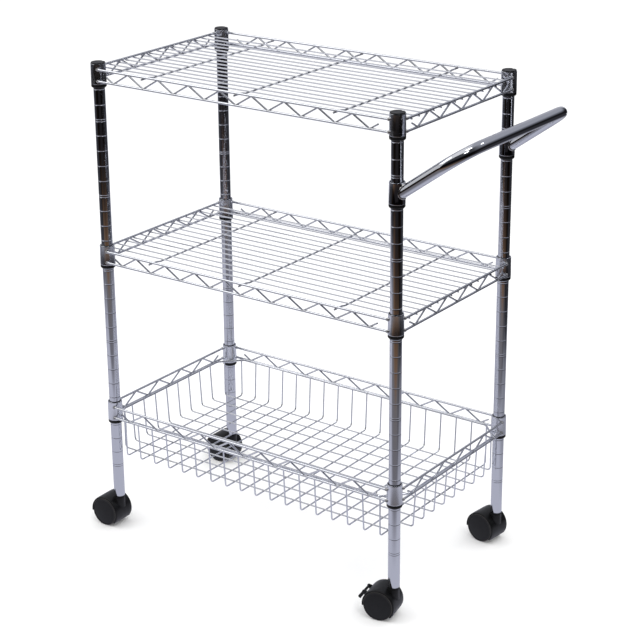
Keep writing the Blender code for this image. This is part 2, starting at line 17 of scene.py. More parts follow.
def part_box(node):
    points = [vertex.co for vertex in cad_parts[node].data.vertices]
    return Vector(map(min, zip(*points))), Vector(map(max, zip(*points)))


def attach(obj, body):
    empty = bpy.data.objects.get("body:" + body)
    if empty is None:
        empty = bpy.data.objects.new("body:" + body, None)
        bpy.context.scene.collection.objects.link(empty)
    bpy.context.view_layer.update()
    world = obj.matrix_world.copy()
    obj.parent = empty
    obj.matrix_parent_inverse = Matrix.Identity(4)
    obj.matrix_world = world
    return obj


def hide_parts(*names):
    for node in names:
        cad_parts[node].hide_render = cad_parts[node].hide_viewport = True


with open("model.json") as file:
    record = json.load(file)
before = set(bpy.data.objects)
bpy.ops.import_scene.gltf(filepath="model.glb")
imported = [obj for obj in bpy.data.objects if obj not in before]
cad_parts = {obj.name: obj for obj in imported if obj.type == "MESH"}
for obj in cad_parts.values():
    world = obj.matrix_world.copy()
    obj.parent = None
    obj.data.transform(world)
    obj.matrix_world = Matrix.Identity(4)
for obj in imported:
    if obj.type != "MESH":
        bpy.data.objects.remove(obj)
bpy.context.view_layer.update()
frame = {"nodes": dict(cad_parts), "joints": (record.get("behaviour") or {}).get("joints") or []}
MM = 0.001

# %% [markdown]
# ## The camera
#
# A long lens from well back keeps the posts nearly parallel, as on a product
# shot. The camera looks across the cart's front right corner and down on the
# shelves. Its place is given by two angles, and a roll of under half a degree
# stands for a tripod that isn't quite level.

# %% Camera
CAMERA_PLACE = Vector((1.6441, -2.3004, 1.4732))
CAMERA_HEADING = math.radians(35.62)
CAMERA_DOWN = math.radians(20.80)
CAMERA_ROLL = math.radians(-0.42)
SENSOR_WIDTH = 36.0
LENS_TO_WIDTH = 2.8775

camera_data = bpy.data.cameras.new("camera")
camera_data.sensor_width = SENSOR_WIDTH
camera_data.lens = SENSOR_WIDTH * LENS_TO_WIDTH
camera_data.clip_end = 50.0
camera = bpy.data.objects.new("camera", camera_data)
bpy.context.scene.collection.objects.link(camera)
camera.matrix_world = (
    Matrix.Translation(CAMERA_PLACE)
    @ Matrix.Rotation(CAMERA_HEADING, 4, "Z")
    @ Matrix.Rotation(math.pi / 2 - CAMERA_DOWN, 4, "X")
    @ Matrix.Rotation(CAMERA_ROLL, 4, "Z")
)
bpy.context.scene.camera = camera
print("lens", round(camera_data.lens, 1), "mm")

# %% [markdown]
# ## Where things are
#
# The corners and heights come from the CAD nodes' boxes, so the fine surfaces
# land on the solids that they stand for. A post's box is centred on its axis,
# and a tier's box is as tall as its collars.

# %% Places read from the frame
CORNERS = ("front_left", "front_right", "rear_left", "rear_right")
TIERS = ("top", "middle", "basket")
COLLAR_HEIGHT = 33.0 * MM


def middle_of(node):
    low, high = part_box(node)
    return np.array((low + high) / 2)


post_axis = {corner: middle_of(f"post_{corner}")[:2] for corner in CORNERS}
post_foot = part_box("post_front_left")[0].z
post_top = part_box("post_front_left")[1].z
collar_foot = {tier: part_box(f"frame_{tier}")[0].z for tier in TIERS}
collar_foot["handle"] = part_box("sleeve_handle_front_right")[1].z - COLLAR_HEIGHT
centre = (post_axis["front_left"] + post_axis["rear_right"]) / 2
half_x, half_y = (post_axis["rear_right"] - post_axis["front_left"]) / 2
print("post spacing", round(2 * half_x / MM, 1), "by", round(2 * half_y / MM, 1), "mm")

# %% [markdown]
# ## Surfaces on a grid
#
# Each surface is a grid of points, worked out as one array. Neighbouring points
# make a four-sided face, so the faces of any grid are the same index sum. A
# shape is a pair: its points, and a list of face arrays. Whole shapes can then
# be copied, moved and joined as arrays before Blender sees them.

# %% Grid faces


def grid_faces(rows, columns, close_rows=False, close_columns=True):
    """Four-sided faces of a grid. Point (i, j) has the number i * columns + j."""
    i = np.arange(rows if close_rows else rows - 1)[:, None]
    j = np.arange(columns if close_columns else columns - 1)[None, :]
    i_next = (i + 1) % rows
    j_next = (j + 1) % columns
    corners = (i * columns + j, i * columns + j_next, i_next * columns + j_next, i_next * columns + j)
    return np.stack(corners, axis=-1).reshape(-1, 4)


def capped(points, close_rows=False):
    """A grid of rings as a closed shape: (rows, columns, 3) points, and a flat cap on each end."""
    rows, columns = points.shape[:2]
    faces = [grid_faces(rows, columns, close_rows)]
    if not close_rows:
        faces.append(np.arange(columns)[None, ::-1])
        faces.append(np.arange(columns)[None, :] + (rows - 1) * columns)
    return points.reshape(-1, 3), faces


def joined(shapes):
    """Several shapes as one: the points end to end, the face numbers moved on to match."""
    starts = np.cumsum([0] + [len(points) for points, _ in shapes[:-1]])
    faces = [block + start for (_, blocks), start in zip(shapes, starts) for block in blocks]
    return np.concatenate([points for points, _ in shapes]), faces


def at_places(shape, places):
    """Copies of a shape, one at each row of places, as one shape."""
    points, blocks = shape
    places = np.asarray(places, float).reshape(-1, 3)
    starts = np.arange(len(places))[:, None, None] * len(points)
    faces = [(block[None] + starts).reshape(-1, block.shape[1]) for block in blocks]
    return (points[None] + places[:, None]).reshape(-1, 3), faces


def moved(shape, place):
    """The shape with the place added to each point."""
    points, faces = shape
    return points + np.asarray(place, float), faces


def placed(shape, matrix, place):
    """The shape with each point multiplied by a 3 by 3 matrix and moved to a place."""
    points, faces = shape
    return moved((points @ np.asarray(matrix, float).T, faces), place)


def with_welds(plain, welds):
    """Plain metal and weld metal as one shape, and its mark: 0 on the plain points, 1 on welds."""
    mark = np.repeat([0.0, 1.0], [len(plain[0]), len(welds[0])])
    return joined([plain, welds]), mark


print("a 3 by 4 ring grid has", len(grid_faces(3, 4)), "faces")

# %% [markdown]
# ## Two ways to make a surface
#
# Nearly every piece of this cart was made in one of two ways. A post, collar,
# cap or wheel is **turned**: a profile goes round an axis. A wire, the handle
# or the caster's cover is **carried**: a section goes along a path. The paths
# here all lie in a plane, because a wire bender works on a flat table, so the
# plane's normal and the path's direction are enough to hold the section.

# %% Turned and carried surfaces


def ring_angles(sides):
    return np.arange(sides) * (2 * math.pi / sides)


def turned(profile, sides=40, closed=False, squeeze=None):
    """Point (i, a) = (r_i cos a, r_i sin a, h_i), for a profile of (r, h) rows that climbs
    its outer side. squeeze is an optional (rows, sides) array that multiplies r."""
    profile = np.asarray(profile, float)
    angle = ring_angles(sides)
    radius = profile[:, :1] * (1.0 if squeeze is None else squeeze)
    height = np.broadcast_to(profile[:, 1:], (len(profile), sides))
    points = np.stack([radius * np.cos(angle), radius * np.sin(angle), height], axis=-1)
    return capped(points, closed)


def unit(vectors):
    return vectors / np.linalg.norm(vectors, axis=-1, keepdims=True)


def carried(path, side, section, scale=None, closed=False):
    """Point (i, k) = path_i + s_i (u_k N_i + v_k B), with B the plane's normal, T_i the path's
    direction and N_i = B x T_i. The (u, v) section runs from N towards B."""
    path = np.asarray(path, float)
    along = np.roll(path, -1, 0) - np.roll(path, 1, 0) if closed else np.gradient(path, axis=0)
    across = unit(np.cross(side, unit(along)))
    section = np.asarray(section, float)
    size = np.ones(len(path)) if scale is None else np.asarray(scale, float)
    offset = section[None, :, :1] * across[:, None] + section[None, :, 1:] * np.asarray(side, float)
    return capped(path[:, None] + size[:, None, None] * offset, closed)


def circle(radius, sides):
    angle = ring_angles(sides)
    return radius * np.stack([np.cos(angle), np.sin(angle)], axis=1)


def bent(corners, bend, steps=6):
    """A path of straight runs with a round bend at each corner. The bend from A to C about
    corner P is the circle arc ((1-t)^2 A + 2t(1-t) w P + t^2 C) / ((1-t)^2 + 2t(1-t) w + t^2),
    where w is the cosine of half the turn."""
    corners = np.asarray(corners, float)
    before = unit(corners[:-2] - corners[1:-1])
    after = unit(corners[2:] - corners[1:-1])
    half_turn = np.arccos(np.clip(-(before * after).sum(1), -1.0, 1.0)) / 2
    reach = (np.broadcast_to(bend, half_turn.shape) * np.tan(half_turn))[:, None, None]
    corner = corners[1:-1, None]
    t = np.linspace(0.0, 1.0, steps)[None, :, None]
    w = np.cos(half_turn)[:, None, None]
    first, middle, last = (1 - t) ** 2, 2 * t * (1 - t) * w, t ** 2
    start = corner + reach * before[:, None]
    end = corner + reach * after[:, None]
    arcs = (first * start + middle * corner + last * end) / (first + middle + last)
    return np.concatenate([corners[:1], arcs.reshape(-1, 3), corners[-1:]])


WIRE_CHAMFER = 0.35


def wire(path, side, radius, sides=8):
    """A round wire whose cut ends are slightly chamfered: the section shrinks over the last bit."""
    path = np.asarray(path, float)
    cut = WIRE_CHAMFER * radius
    start = path[0] + cut * unit(path[1] - path[0])
    end = path[-1] + cut * unit(path[-2] - path[-1])
    whole = np.concatenate([path[:1], start[None], path[1:-1], end[None], path[-1:]])
    scale = np.ones(len(whole))
    scale[[0, -1]] = 1 - WIRE_CHAMFER
    return carried(whole, side, circle(radius, sides), scale)


ALONG_X, ALONG_Y, ALONG_Z = np.eye(3)
elbow = wire(bent([(0, 0, 0), (1, 0, 0), (1, 1, 0)], 0.2), ALONG_Z, 0.01)
print("a bent wire has", len(elbow[0]), "points")

# %% [markdown]
# ## From arrays to a Blender mesh
#
# `foreach_set` copies a whole array into the mesh at once. Faces with four
# corners and the many-cornered caps can stand in one mesh, because a face only
# says where its corners start in one long list. A *mark* is a number kept on
# each point, such as 1 on a weld, that a material can read.

# %% Mesh, shading and riding

MARK = "mark"


def as_mesh(name, shape, mark=None, sharp=35.0):
    """The shape as a mesh, smooth except along edges that turn by more than sharp degrees."""
    points, blocks = shape
    sizes = np.concatenate([np.full(len(block), block.shape[1]) for block in blocks])
    corners = np.concatenate([block.ravel() for block in blocks])
    mesh = bpy.data.meshes.new(name)
    mesh.vertices.add(len(points))
    mesh.vertices.foreach_set("co", points.astype(np.float32).ravel())
    mesh.loops.add(len(corners))
    mesh.loops.foreach_set("vertex_index", corners.astype(np.int32))
    mesh.polygons.add(len(sizes))
    mesh.polygons.foreach_set("loop_start", (np.cumsum(sizes) - sizes).astype(np.int32))
    mesh.update(calc_edges=True)
    if mark is not None:
        values = mesh.attributes.new(MARK, "FLOAT", "POINT")
        values.data.foreach_set("value", np.asarray(mark, np.float32))
    mesh.shade_smooth()
    mesh.set_sharp_from_angle(angle=math.radians(sharp))
    return mesh


def add_piece(name, shape, finish, body, nodes, mark=None, sharp=35.0):
    """A finished piece: its mesh, its material, the body it rides on, the nodes it stands for."""
    mesh = as_mesh(name, shape, mark, sharp)
    mesh.materials.append(finish)
    piece = bpy.data.objects.new(name, mesh)
    bpy.context.scene.collection.objects.link(piece)
    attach(piece, body)
    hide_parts(*nodes)
    print(name, len(mesh.vertices), "points")


# %% [markdown]
# ## Finishes
#
# Four surfaces make up the cart, and each starts from how it was really made.
# One function turns sRGB hex into the linear values that shaders need, and one
# adds a node with its settings and links.

# %% Colour and node helpers


def linear(hex_colour):
    """sRGB hex to linear RGBA: c / 12.92 below 0.04045, else ((c + 0.055) / 1.055) ** 2.4."""
    channels = np.array([int(hex_colour[k:k + 2], 16) for k in (1, 3, 5)]) / 255
    light = np.where(channels <= 0.04045, channels / 12.92, ((channels + 0.055) / 1.055) ** 2.4)
    return (*light.tolist(), 1.0)


def add_node(tree, kind, links=None, values=None, **settings):
    """Adds a node, sets its properties and input values, and links sockets into its inputs."""
    made = tree.nodes.new(kind)
    for name, value in settings.items():
        setattr(made, name, value)
    for name, value in (values or {}).items():
        made.inputs[name].default_value = value
    for name, socket in (links or {}).items():
        tree.links.new(socket, made.inputs[name])
    return made


def new_finish(name, colour, roughness, metallic):
    """A material with a plain shader to build on. Returns it with its tree and shader."""
    finish = bpy.data.materials.new(name)
    finish.use_nodes = True
    shader = finish.node_tree.nodes["Principled BSDF"]
    shader.inputs["Base Color"].default_value = linear(colour)
    shader.inputs["Roughness"].default_value = roughness
    shader.inputs["Metallic"].default_value = metallic
    return finish, finish.node_tree, shader


def noise(tree, place, size_mm, detail, roughness=0.5):
    """Noise with features about that many millimetres apart. Returns its 0 to 1 socket."""
    made = add_node(tree, "ShaderNodeTexNoise", {"Vector": place},
                    {"Scale": 1.0 / (size_mm * MM), "Detail": detail, "Roughness": roughness})
    return made.outputs["Fac"]


def ranged(tree, value, low, high, from_low=0.0, from_high=1.0):
    """The value, taken from one range to another. Returns the socket."""
    made = add_node(tree, "ShaderNodeMapRange", {"Value": value},
                    {"From Min": from_low, "From Max": from_high, "To Min": low, "To Max": high})
    return made.outputs[0]


def tinted(tree, shader, share, colour, other):
    """Base colour that goes from one sRGB hex to another as the share goes from 0 to 1."""
    made = add_node(tree, "ShaderNodeMix", {"Factor": share}, data_type="RGBA")
    made.inputs["A"].default_value = linear(colour)
    made.inputs["B"].default_value = linear(other)
    tree.links.new(made.outputs["Result"], shader.inputs["Base Color"])


def bumped(tree, shader, height, strength, depth_mm):
    made = add_node(tree, "ShaderNodeBump", {"Height": height},
                    {"Strength": strength, "Distance": depth_mm * MM})
    tree.links.new(made.outputs["Normal"], shader.inputs["Normal"])


print("white is", linear("#FFFFFF")[:3])

# %% [markdown]
# ### Bright chrome on rolled tube
#
# The posts, collars and handle are steel tube with nickel and then chrome on
# it. Chrome is nearly a mirror, slightly blue, and it follows the tube under
# it: tube rolling leaves long shallow waves along the axis, and the plating
# itself has an even fainter skin like orange peel. Handling leaves dull
# patches, which are only a change of roughness. The mark is 1 on a weld bead,
# where chrome over rough metal is duller and a little warmer.

# %% Chrome on tube


def plated_steel(name, colour, weld_colour, clean, hazy, weld, haze_mm, grain_mm, wave_mm, depth_mm):
    """Chrome whose roughness drifts between clean and hazy, over waves of a real size and depth."""
    finish, tree, shader = new_finish(name, colour, clean, 1.0)
    place = add_node(tree, "ShaderNodeTexCoord").outputs["Object"]
    haze = noise(tree, place, haze_mm, 4.0, 0.6)
    grain = noise(tree, place, grain_mm, 2.0)
    marked = add_node(tree, "ShaderNodeAttribute", attribute_name=MARK).outputs["Fac"]
    both = add_node(tree, "ShaderNodeMath", {0: haze, 1: grain}, operation="MULTIPLY")
    level = ranged(tree, both.outputs[0], clean, hazy, 0.15, 0.42)
    rough = add_node(tree, "ShaderNodeMix", {"Factor": marked, "A": level}, {"B": weld})
    tree.links.new(rough.outputs["Result"], shader.inputs["Roughness"])
    tinted(tree, shader, marked, colour, weld_colour)
    stretch = add_node(tree, "ShaderNodeMapping", {"Vector": place}, {"Scale": (1.0, 1.0, 0.12)})
    bumped(tree, shader, noise(tree, stretch.outputs[0], wave_mm, 3.0, 0.55), 0.5, depth_mm)
    return finish


chrome_tube = plated_steel("chrome_plated_rolled_tube", "#D3D5DC", "#C6C4C2", 0.05, 0.12, 0.26,
                           haze_mm=40.0, grain_mm=1.6, wave_mm=6.0, depth_mm=0.012)
print("made", chrome_tube.name)

# %% [markdown]
# ### Bright chrome on drawn wire
#
# Drawn wire keeps fine lines from the die, and the rack is plated after
# welding, so its chrome is a little softer than on the tube. Spot welds squash
# the wires into each other and stay rougher than the wire.

# %% Chrome on wire
chrome_wire = plated_steel("chrome_plated_drawn_wire", "#DEE0E6", "#CCCBCA", 0.16, 0.27, 0.34,
                           haze_mm=25.0, grain_mm=1.2, wave_mm=2.5, depth_mm=0.006)
print("made", chrome_wire.name)

# %% [markdown]
# ### Moulded black plastic
#
# Sleeves, caps and the casters' covers are injection moulded. Their tool was
# spark eroded, which leaves an even fine grain of about a third of a
# millimetre, drawn here about twice as coarse so that it shows. Shiny rubbed
# patches and a trace of pale dust keep the black from being flat.

# %% Moulded black plastic


def moulded_plastic(name, colour, dust, dust_share, rough_low, rough_high, grain_mm, grain_depth_mm):
    """Black plastic with a spark-eroded grain, rubbed patches and dust. The mark adds more dust."""
    finish, tree, shader = new_finish(name, colour, rough_low, 0.0)
    shader.inputs["IOR"].default_value = 1.49
    shader.inputs["Specular IOR Level"].default_value = 0.32
    place = add_node(tree, "ShaderNodeTexCoord").outputs["Object"]
    patches = noise(tree, place, 9.0, 5.0, 0.6)
    specks = noise(tree, place, 1.1, 4.0, 0.7)
    tree.links.new(ranged(tree, patches, rough_low, rough_high, 0.3, 0.7), shader.inputs["Roughness"])
    marked = add_node(tree, "ShaderNodeAttribute", attribute_name=MARK).outputs["Fac"]
    dusty = ranged(tree, specks, 0.0, dust_share, 0.45, 0.75)
    more = add_node(tree, "ShaderNodeMath", {0: marked, 1: specks}, operation="MULTIPLY").outputs[0]
    share = add_node(tree, "ShaderNodeMath", {0: dusty, 1: more}, operation="ADD", use_clamp=True)
    tinted(tree, shader, share.outputs[0], colour, dust)
    bumped(tree, shader, noise(tree, place, grain_mm, 2.0), 0.6, grain_depth_mm)
    return finish


black_plastic = moulded_plastic("spark_grained_moulded_polypropylene", "#0A0A0C", "#4A4845", 0.04,
                                0.32, 0.50, grain_mm=0.7, grain_depth_mm=0.04)
black_nylon = moulded_plastic("moulded_black_nylon", "#08080A", "#4E4B48", 0.03,
                              0.30, 0.46, grain_mm=1.0, grain_depth_mm=0.03)
print("made", black_plastic.name, "and", black_nylon.name)

# %% [markdown]
# ### Zinc plated steel
#
# The stems and axles are hidden inside the casters. They are zinc plated, a
# soft grey with blotches of blue passivation. Their CAD solids have the right
# shape, so they only get this finish.

# %% Zinc on hidden pins
zinc, zinc_tree, zinc_shader = new_finish("zinc_plated_steel", "#9FA3A8", 0.38, 1.0)
zinc_place = add_node(zinc_tree, "ShaderNodeTexCoord").outputs["Object"]
blotches = noise(zinc_tree, zinc_place, 4.0, 4.0)
tinted(zinc_tree, zinc_shader, blotches, "#8E939B", "#B4B2A8")
zinc_tree.links.new(ranged(zinc_tree, blotches, 0.30, 0.50), zinc_shader.inputs["Roughness"])


def refinish(node, finish):
    """A better material on a CAD node whose shape is already right."""
    slots = frame["nodes"][node].data.materials
    slots.clear()
    slots.append(finish)


for corner in CORNERS:
    refinish(f"caster_stem_{corner}", zinc)
    refinish(f"caster_axle_{corner}", zinc)
    refinish(f"caster_socket_{corner}", black_plastic)
print("refinished", 3 * len(CORNERS), "hidden CAD nodes")

# %% [markdown]
# ## Posts
#
# A post is 19 mm tube with a groove rolled into it every 25.4 mm. The plastic
# sleeves lock into those grooves, and every fifth groove is doubled so that
# shelves can be set level by counting. The groove is a smooth dip, so the
# radius is the tube's radius less a sum of bell curves, one for each groove.
# Rows of points are close together only where a dip needs them.

# %% Posts
POST_RADIUS = 9.5 * MM
POST_BORE = 8.3 * MM
GROOVE_PITCH = 25.4 * MM
FIRST_GROOVE = 16.7 * MM
GROOVE_COUNT = 28
DOUBLED = np.array([3, 8, 13, 18, 23, 27])
DOUBLE_APART = 1.75 * MM
GROOVE_DEPTH = 0.28 * MM
GROOVE_HALF_WIDTH = 0.42 * MM
END_ROUNDING = 0.35 * MM
END_LENGTH = 0.7 * MM

single = post_top - FIRST_GROOVE - GROOVE_PITCH * np.delete(np.arange(GROOVE_COUNT), DOUBLED)
double = (post_top - FIRST_GROOVE - GROOVE_PITCH * DOUBLED)[:, None] + DOUBLE_APART * np.array([-1, 1])
grooves = np.sort(np.concatenate([single, double.ravel()]))


def post_shape(axis):
    """Radius at height z = R - d * sum over grooves g of exp(-((z - g) / w)^2), less a rounding
    at both ends. The wall's inside is a plain bore."""
    across = np.array([0.3, 0.7, 1.1, 1.6, 2.3, 3.0])
    near_groove = grooves[:, None] + GROOVE_HALF_WIDTH * np.concatenate([-across[::-1], across])
    ends = np.array([0.0, 0.25 * MM, END_LENGTH])
    heights = np.concatenate([post_foot + ends, near_groove.ravel(), post_top - ends[::-1]])
    heights = np.sort(heights)
    dip = np.exp(-(((heights[:, None] - grooves) / GROOVE_HALF_WIDTH) ** 2)).sum(1)
    from_end = np.minimum(heights - post_foot, post_top - heights)
    rounding = END_ROUNDING * np.clip(1 - from_end / END_LENGTH, 0, 1) ** 2
    outer = np.stack([POST_RADIUS - GROOVE_DEPTH * dip - rounding, heights], axis=1)
    inner = np.array([(POST_BORE, post_top), (POST_BORE, post_foot)])
    shape = turned(np.concatenate([outer, inner]), sides=44, closed=True)
    return moved(shape, (*axis, 0.0))


for corner in CORNERS:
    add_piece(f"grooved_post_{corner}", post_shape(post_axis[corner]), chrome_tube, "cart",
              [f"post_{corner}"])
print(len(grooves), "grooves on each post")

# %% [markdown]
# ## Post caps
#
# A cap is a shallow disc with a plug that pushes into the tube. Its rim has one
# small notch, for the screwdriver that lifts it out. The notch is a dip in the
# radius over a few degrees, on the rows of the rim only.

# %% Post caps
CAP_NOTCH_AT = math.radians(80.0)
CAP_NOTCH_WIDTH = math.radians(11.0)
CAP_NOTCH_DEPTH = 0.17
CAP_GAP = 0.2 * MM
CAP_PLUG_SIDE = 8.6 * MM


def dip_at(angle, middle, width):
    """1 at the middle angle, falling to 0 within the width, measured the short way round."""
    away = np.angle(np.exp(1j * (angle - middle)))
    return np.exp(-((away / width) ** 4))


def cap_shape(axis):
    """A turned disc and plug. On the rim's rows the radius loses up to a sixth at the notch."""
    base = post_top + CAP_GAP
    rows = np.array([
        (7.4, -11.6), (7.9, -11.0), (8.0, -6.0), (8.0, 0.0), (11.2, 0.02), (11.5, 0.3),
        (11.55, 0.9), (11.2, 1.35), (10.6, 1.55), (9.6, 1.6), (8.9, 1.4), (8.4, 1.35), (4.0, 1.4),
        (0.6, 1.4),
    ]) * MM
    rows[:, 1] += base
    angle = ring_angles(56)
    on_rim = (rows[:, :1] > CAP_PLUG_SIDE).astype(float)
    squeeze = 1 - CAP_NOTCH_DEPTH * on_rim * dip_at(angle, CAP_NOTCH_AT, CAP_NOTCH_WIDTH)[None]
    return moved(turned(rows, 56, squeeze=squeeze), (*axis, 0.0))


for corner in CORNERS:
    add_piece(f"notched_cap_{corner}", cap_shape(post_axis[corner]), black_plastic, "cart",
              [f"post_cap_{corner}"])

# %% [markdown]
# ## Sleeves
#
# Each collar is wedged on its post by a pair of plastic half shells. Only their
# lower rim and the thin upper edge show. The two splits are narrow dips in the
# radius, a quarter turn round from the cart's front, and the rim has a row of
# shallow finger ribs.

# %% Sleeves
SPLIT_WIDTH = math.radians(3.0)
SPLIT_DEPTH = 0.06
RIB_DEPTH = 0.006
RIBS = 24


def sleeve_shape(axis, foot):
    """Outer side: chamfered rim under the collar, then a thin wall inside it. On the rim's rows,
    radius = r (1 - SPLIT_DEPTH * split(a) - RIB_DEPTH * cos 24 a), the ribs only below the collar."""
    outer = np.array([
        (10.0, -6.0), (11.0, -6.0), (11.6, -5.5), (12.3, -4.6), (12.45, -4.0), (12.45, -0.9),
        (12.2, -0.35), (11.0, -0.3), (11.0, 3.0), (10.6, 32.6), (10.45, 33.0),
    ])
    inner = np.array([(9.95, 33.0), (9.8, 32.6), (9.8, -5.4)])
    rows = np.concatenate([outer, inner]) * MM
    rows[:, 1] += foot
    angle = ring_angles(72)
    split = dip_at(angle, 0.0, SPLIT_WIDTH) + dip_at(angle, math.pi, SPLIT_WIDTH)
    ribs = RIB_DEPTH * np.cos(angle * RIBS)
    rim = ((rows[:, :1] > 11.5 * MM) & (rows[:, :1] < 12.5 * MM)).astype(float)
    squeeze = 1 - rim * (SPLIT_DEPTH * split[None] + ribs[None] * (rows[:, 1:] < foot - 1.5 * MM))
    return moved(turned(rows, 72, closed=True, squeeze=squeeze), (*axis, 0.0))


sleeve_places = [(tier, corner) for tier in TIERS for corner in CORNERS]
sleeve_places += [("handle", "front_right"), ("handle", "rear_right")]
for tier, corner in sleeve_places:
    add_piece(f"split_sleeve_{tier}_{corner}", sleeve_shape(post_axis[corner], collar_foot[tier]),
              black_plastic, "cart", [f"sleeve_{tier}_{corner}"])

# %% [markdown]
# ## Tier frames
#
# Every tier is a flat ladder of two rods on each side, with a zigzag wire
# between them, welded to four collars. The long sides have eight full bays and
# the short sides four, and at both ends the zigzag stops half way up, where
# the wire was cut. The zigzag's corners are bent round a pin, so `bent` makes
# the path, and `wire` carries a round section along it.

# %% Frame sizes
ROD_RADIUS = 2.0 * MM
ROD_OFFSET = 10.5 * MM
ROD_END = 8.0 * MM
LOWER_ROD = 5.5 * MM
UPPER_ROD = 24.5 * MM
ZIGZAG_RADIUS = 1.5 * MM
ZIGZAG_BEND = 2.6 * MM
ZIGZAG_REACH = 0.4 * MM
BAYS = {"long": 8, "short": 4}
STUB_FROM_POST = {"long": 41.0 * MM, "short": 36.0 * MM}


def zigzag_path(half, bays, from_post, low, high):
    """(place, height) corners: low at every whole bay and high at every half bay, and a stub
    that rises half way at both ends."""
    pitch = 2 * (half - from_post) / bays
    steps = np.arange(2 * bays + 1)
    across = -half + from_post + steps * pitch / 2
    height = np.where(steps % 2 == 0, low, high)
    ends = np.array([-1, 1]) * (half - from_post + pitch / 4)
    across = np.concatenate([ends[:1], across, ends[1:]])
    middle = (low + high) / 2
    return across, np.concatenate([[middle], height, [middle]])


print("the zigzag climbs", round((UPPER_ROD - LOWER_ROD) / MM, 1), "mm")

# %% [markdown]
# ### Collars and weld beads
#
# A collar is a short piece of wider tube, slightly tapered so that the sleeve
# wedges in it, with both edges rolled. It was closed by one weld down its
# inner side. A weld bead is a small drop of metal: a sphere squashed along
# each axis. There are hundreds, so each has only a few dozen faces.

# %% Collars and beads
COLLAR_RADIUS = 12.7 * MM
COLLAR_TAPER = 0.4 * MM
COLLAR_WALL = 1.4 * MM
SEAM_STEPS = 16
SEAM_SINK = 0.35 * MM
SEAM_RIPPLE = 0.12 * MM


def collar_shape(place, foot):
    """Outer side climbs from 12.7 mm to 12.3 mm radius with rolled edges, and the bore comes down."""
    lift = np.array([0.0, 0.15, 0.6, 1.2, 16.0, 31.8, 32.4, 32.85, 33.0]) * MM
    rolled = np.array([0.55, 0.2, 0.0, 0.08, 0.08, 0.08, 0.0, 0.2, 0.55]) * MM
    radius = COLLAR_RADIUS - COLLAR_TAPER * lift / COLLAR_HEIGHT - rolled
    bore = COLLAR_RADIUS - COLLAR_WALL
    inner = np.array([(bore - COLLAR_TAPER, COLLAR_HEIGHT), (bore, 0.0)])
    rows = np.concatenate([np.stack([radius, lift], axis=1), inner])
    return moved(turned(rows, 48, closed=True), (*place, foot))


def bead(size):
    """Ellipsoid point (p, a) = (sx sin p cos a, sx sin p sin a, -sz cos p), with blunt poles."""
    polar = np.linspace(0.32, math.pi - 0.32, 5)
    rows = np.stack([np.sin(polar), -np.cos(polar)], axis=1)
    points, faces = turned(rows, 8)
    return points * np.asarray(size), faces


def seam(place, foot, inward):
    """The collar's closing weld: a flattened strip of metal down the side that faces inwards."""
    heights = np.linspace(1.5, 31.5, SEAM_STEPS) * MM
    ripple = SEAM_RIPPLE * np.cos(np.arange(SEAM_STEPS) * math.pi)
    reach = COLLAR_RADIUS - SEAM_SINK - COLLAR_TAPER * heights / COLLAR_HEIGHT + ripple
    path = np.concatenate([reach[:, None] * inward, heights[:, None]], axis=1)
    side = np.array([-inward[1], inward[0], 0.0])
    strip = circle(1.0, 8) * np.array([0.5 * MM, 1.3 * MM])
    return moved(carried(path, side, strip), (*place, foot))


print("a bead has", len(bead((1, 1, 1))[0]), "points")

# %% [markdown]
# ### One tier
#
# All of a tier's parts are joined into one piece, because on the real cart
# they are welded and then plated together. The mark is 1 on beads and 0 on
# wires, and the chrome reads it.

# %% Tier frames


SIDES = {"long": (ALONG_X, ALONG_Y, half_x, half_y), "short": (ALONG_Y, ALONG_X, half_y, half_x)}


def side_points(kind, across, height, side):
    """Points of a side: across runs along it, and side is -1 or 1 for its two places."""
    along, out, _, half_out = SIDES[kind]
    shift = side * (half_out + ROD_OFFSET) * out
    return across[:, None] * along + shift + height[:, None] * ALONG_Z


def frame_wires():
    """Rods and zigzags of one tier about its centre, with heights above the collar's foot."""
    shapes = []
    vertices = []
    low, high = LOWER_ROD + ZIGZAG_REACH, UPPER_ROD - ZIGZAG_REACH
    for side in (-1.0, 1.0):
        for kind, (_, normal, half, _) in SIDES.items():
            span = np.linspace(-1, 1, 3) * (half - ROD_END)
            for level in (LOWER_ROD, UPPER_ROD):
                rod = side_points(kind, span, np.full(3, level), side)
                shapes.append(wire(rod, normal, ROD_RADIUS, 12))
            across, height = zigzag_path(half, BAYS[kind], STUB_FROM_POST[kind], low, high)
            path = side_points(kind, across, height, side)
            shapes.append(wire(bent(path, ZIGZAG_BEND, 5), normal, ZIGZAG_RADIUS, 10))
            vertices.append(path[1:-1])
    return joined(shapes), np.concatenate(vertices)


def rod_end_beads():
    """Places where the rods meet the collars: two rods a side, both ends, on all four sides."""
    end_x, end_y = half_x - ROD_END, half_y - ROD_END
    out_x, out_y = half_x + ROD_OFFSET, half_y + ROD_OFFSET
    plan = np.array([(end_x, out_y), (out_x, end_y)])
    signs = np.array([(1, 1), (1, -1), (-1, 1), (-1, -1)])
    flat = (plan[None] * signs[:, None]).reshape(-1, 2)
    low = np.column_stack([flat, np.full(len(flat), LOWER_ROD)])
    return np.concatenate([low, low + (0.0, 0.0, UPPER_ROD - LOWER_ROD)])


def tier_shape(tier):
    """The wires and their beads about the tier's centre, with a collar and its seam on each post."""
    wires, vertices = frame_wires()
    beads = joined([
        at_places(bead((2.6 * MM, 2.2 * MM, 1.7 * MM)), vertices),
        at_places(bead((3.2 * MM, 3.2 * MM, 2.7 * MM)), rod_end_beads()),
    ])
    foot = collar_foot[tier]
    plain = [moved(wires, (*centre, foot))]
    welds = [moved(beads, (*centre, foot))]
    for corner in CORNERS:
        axis = post_axis[corner]
        plain.append(collar_shape(axis, foot))
        welds.append(seam(axis, foot, unit(centre - axis)))
    return with_welds(joined(plain), joined(welds))


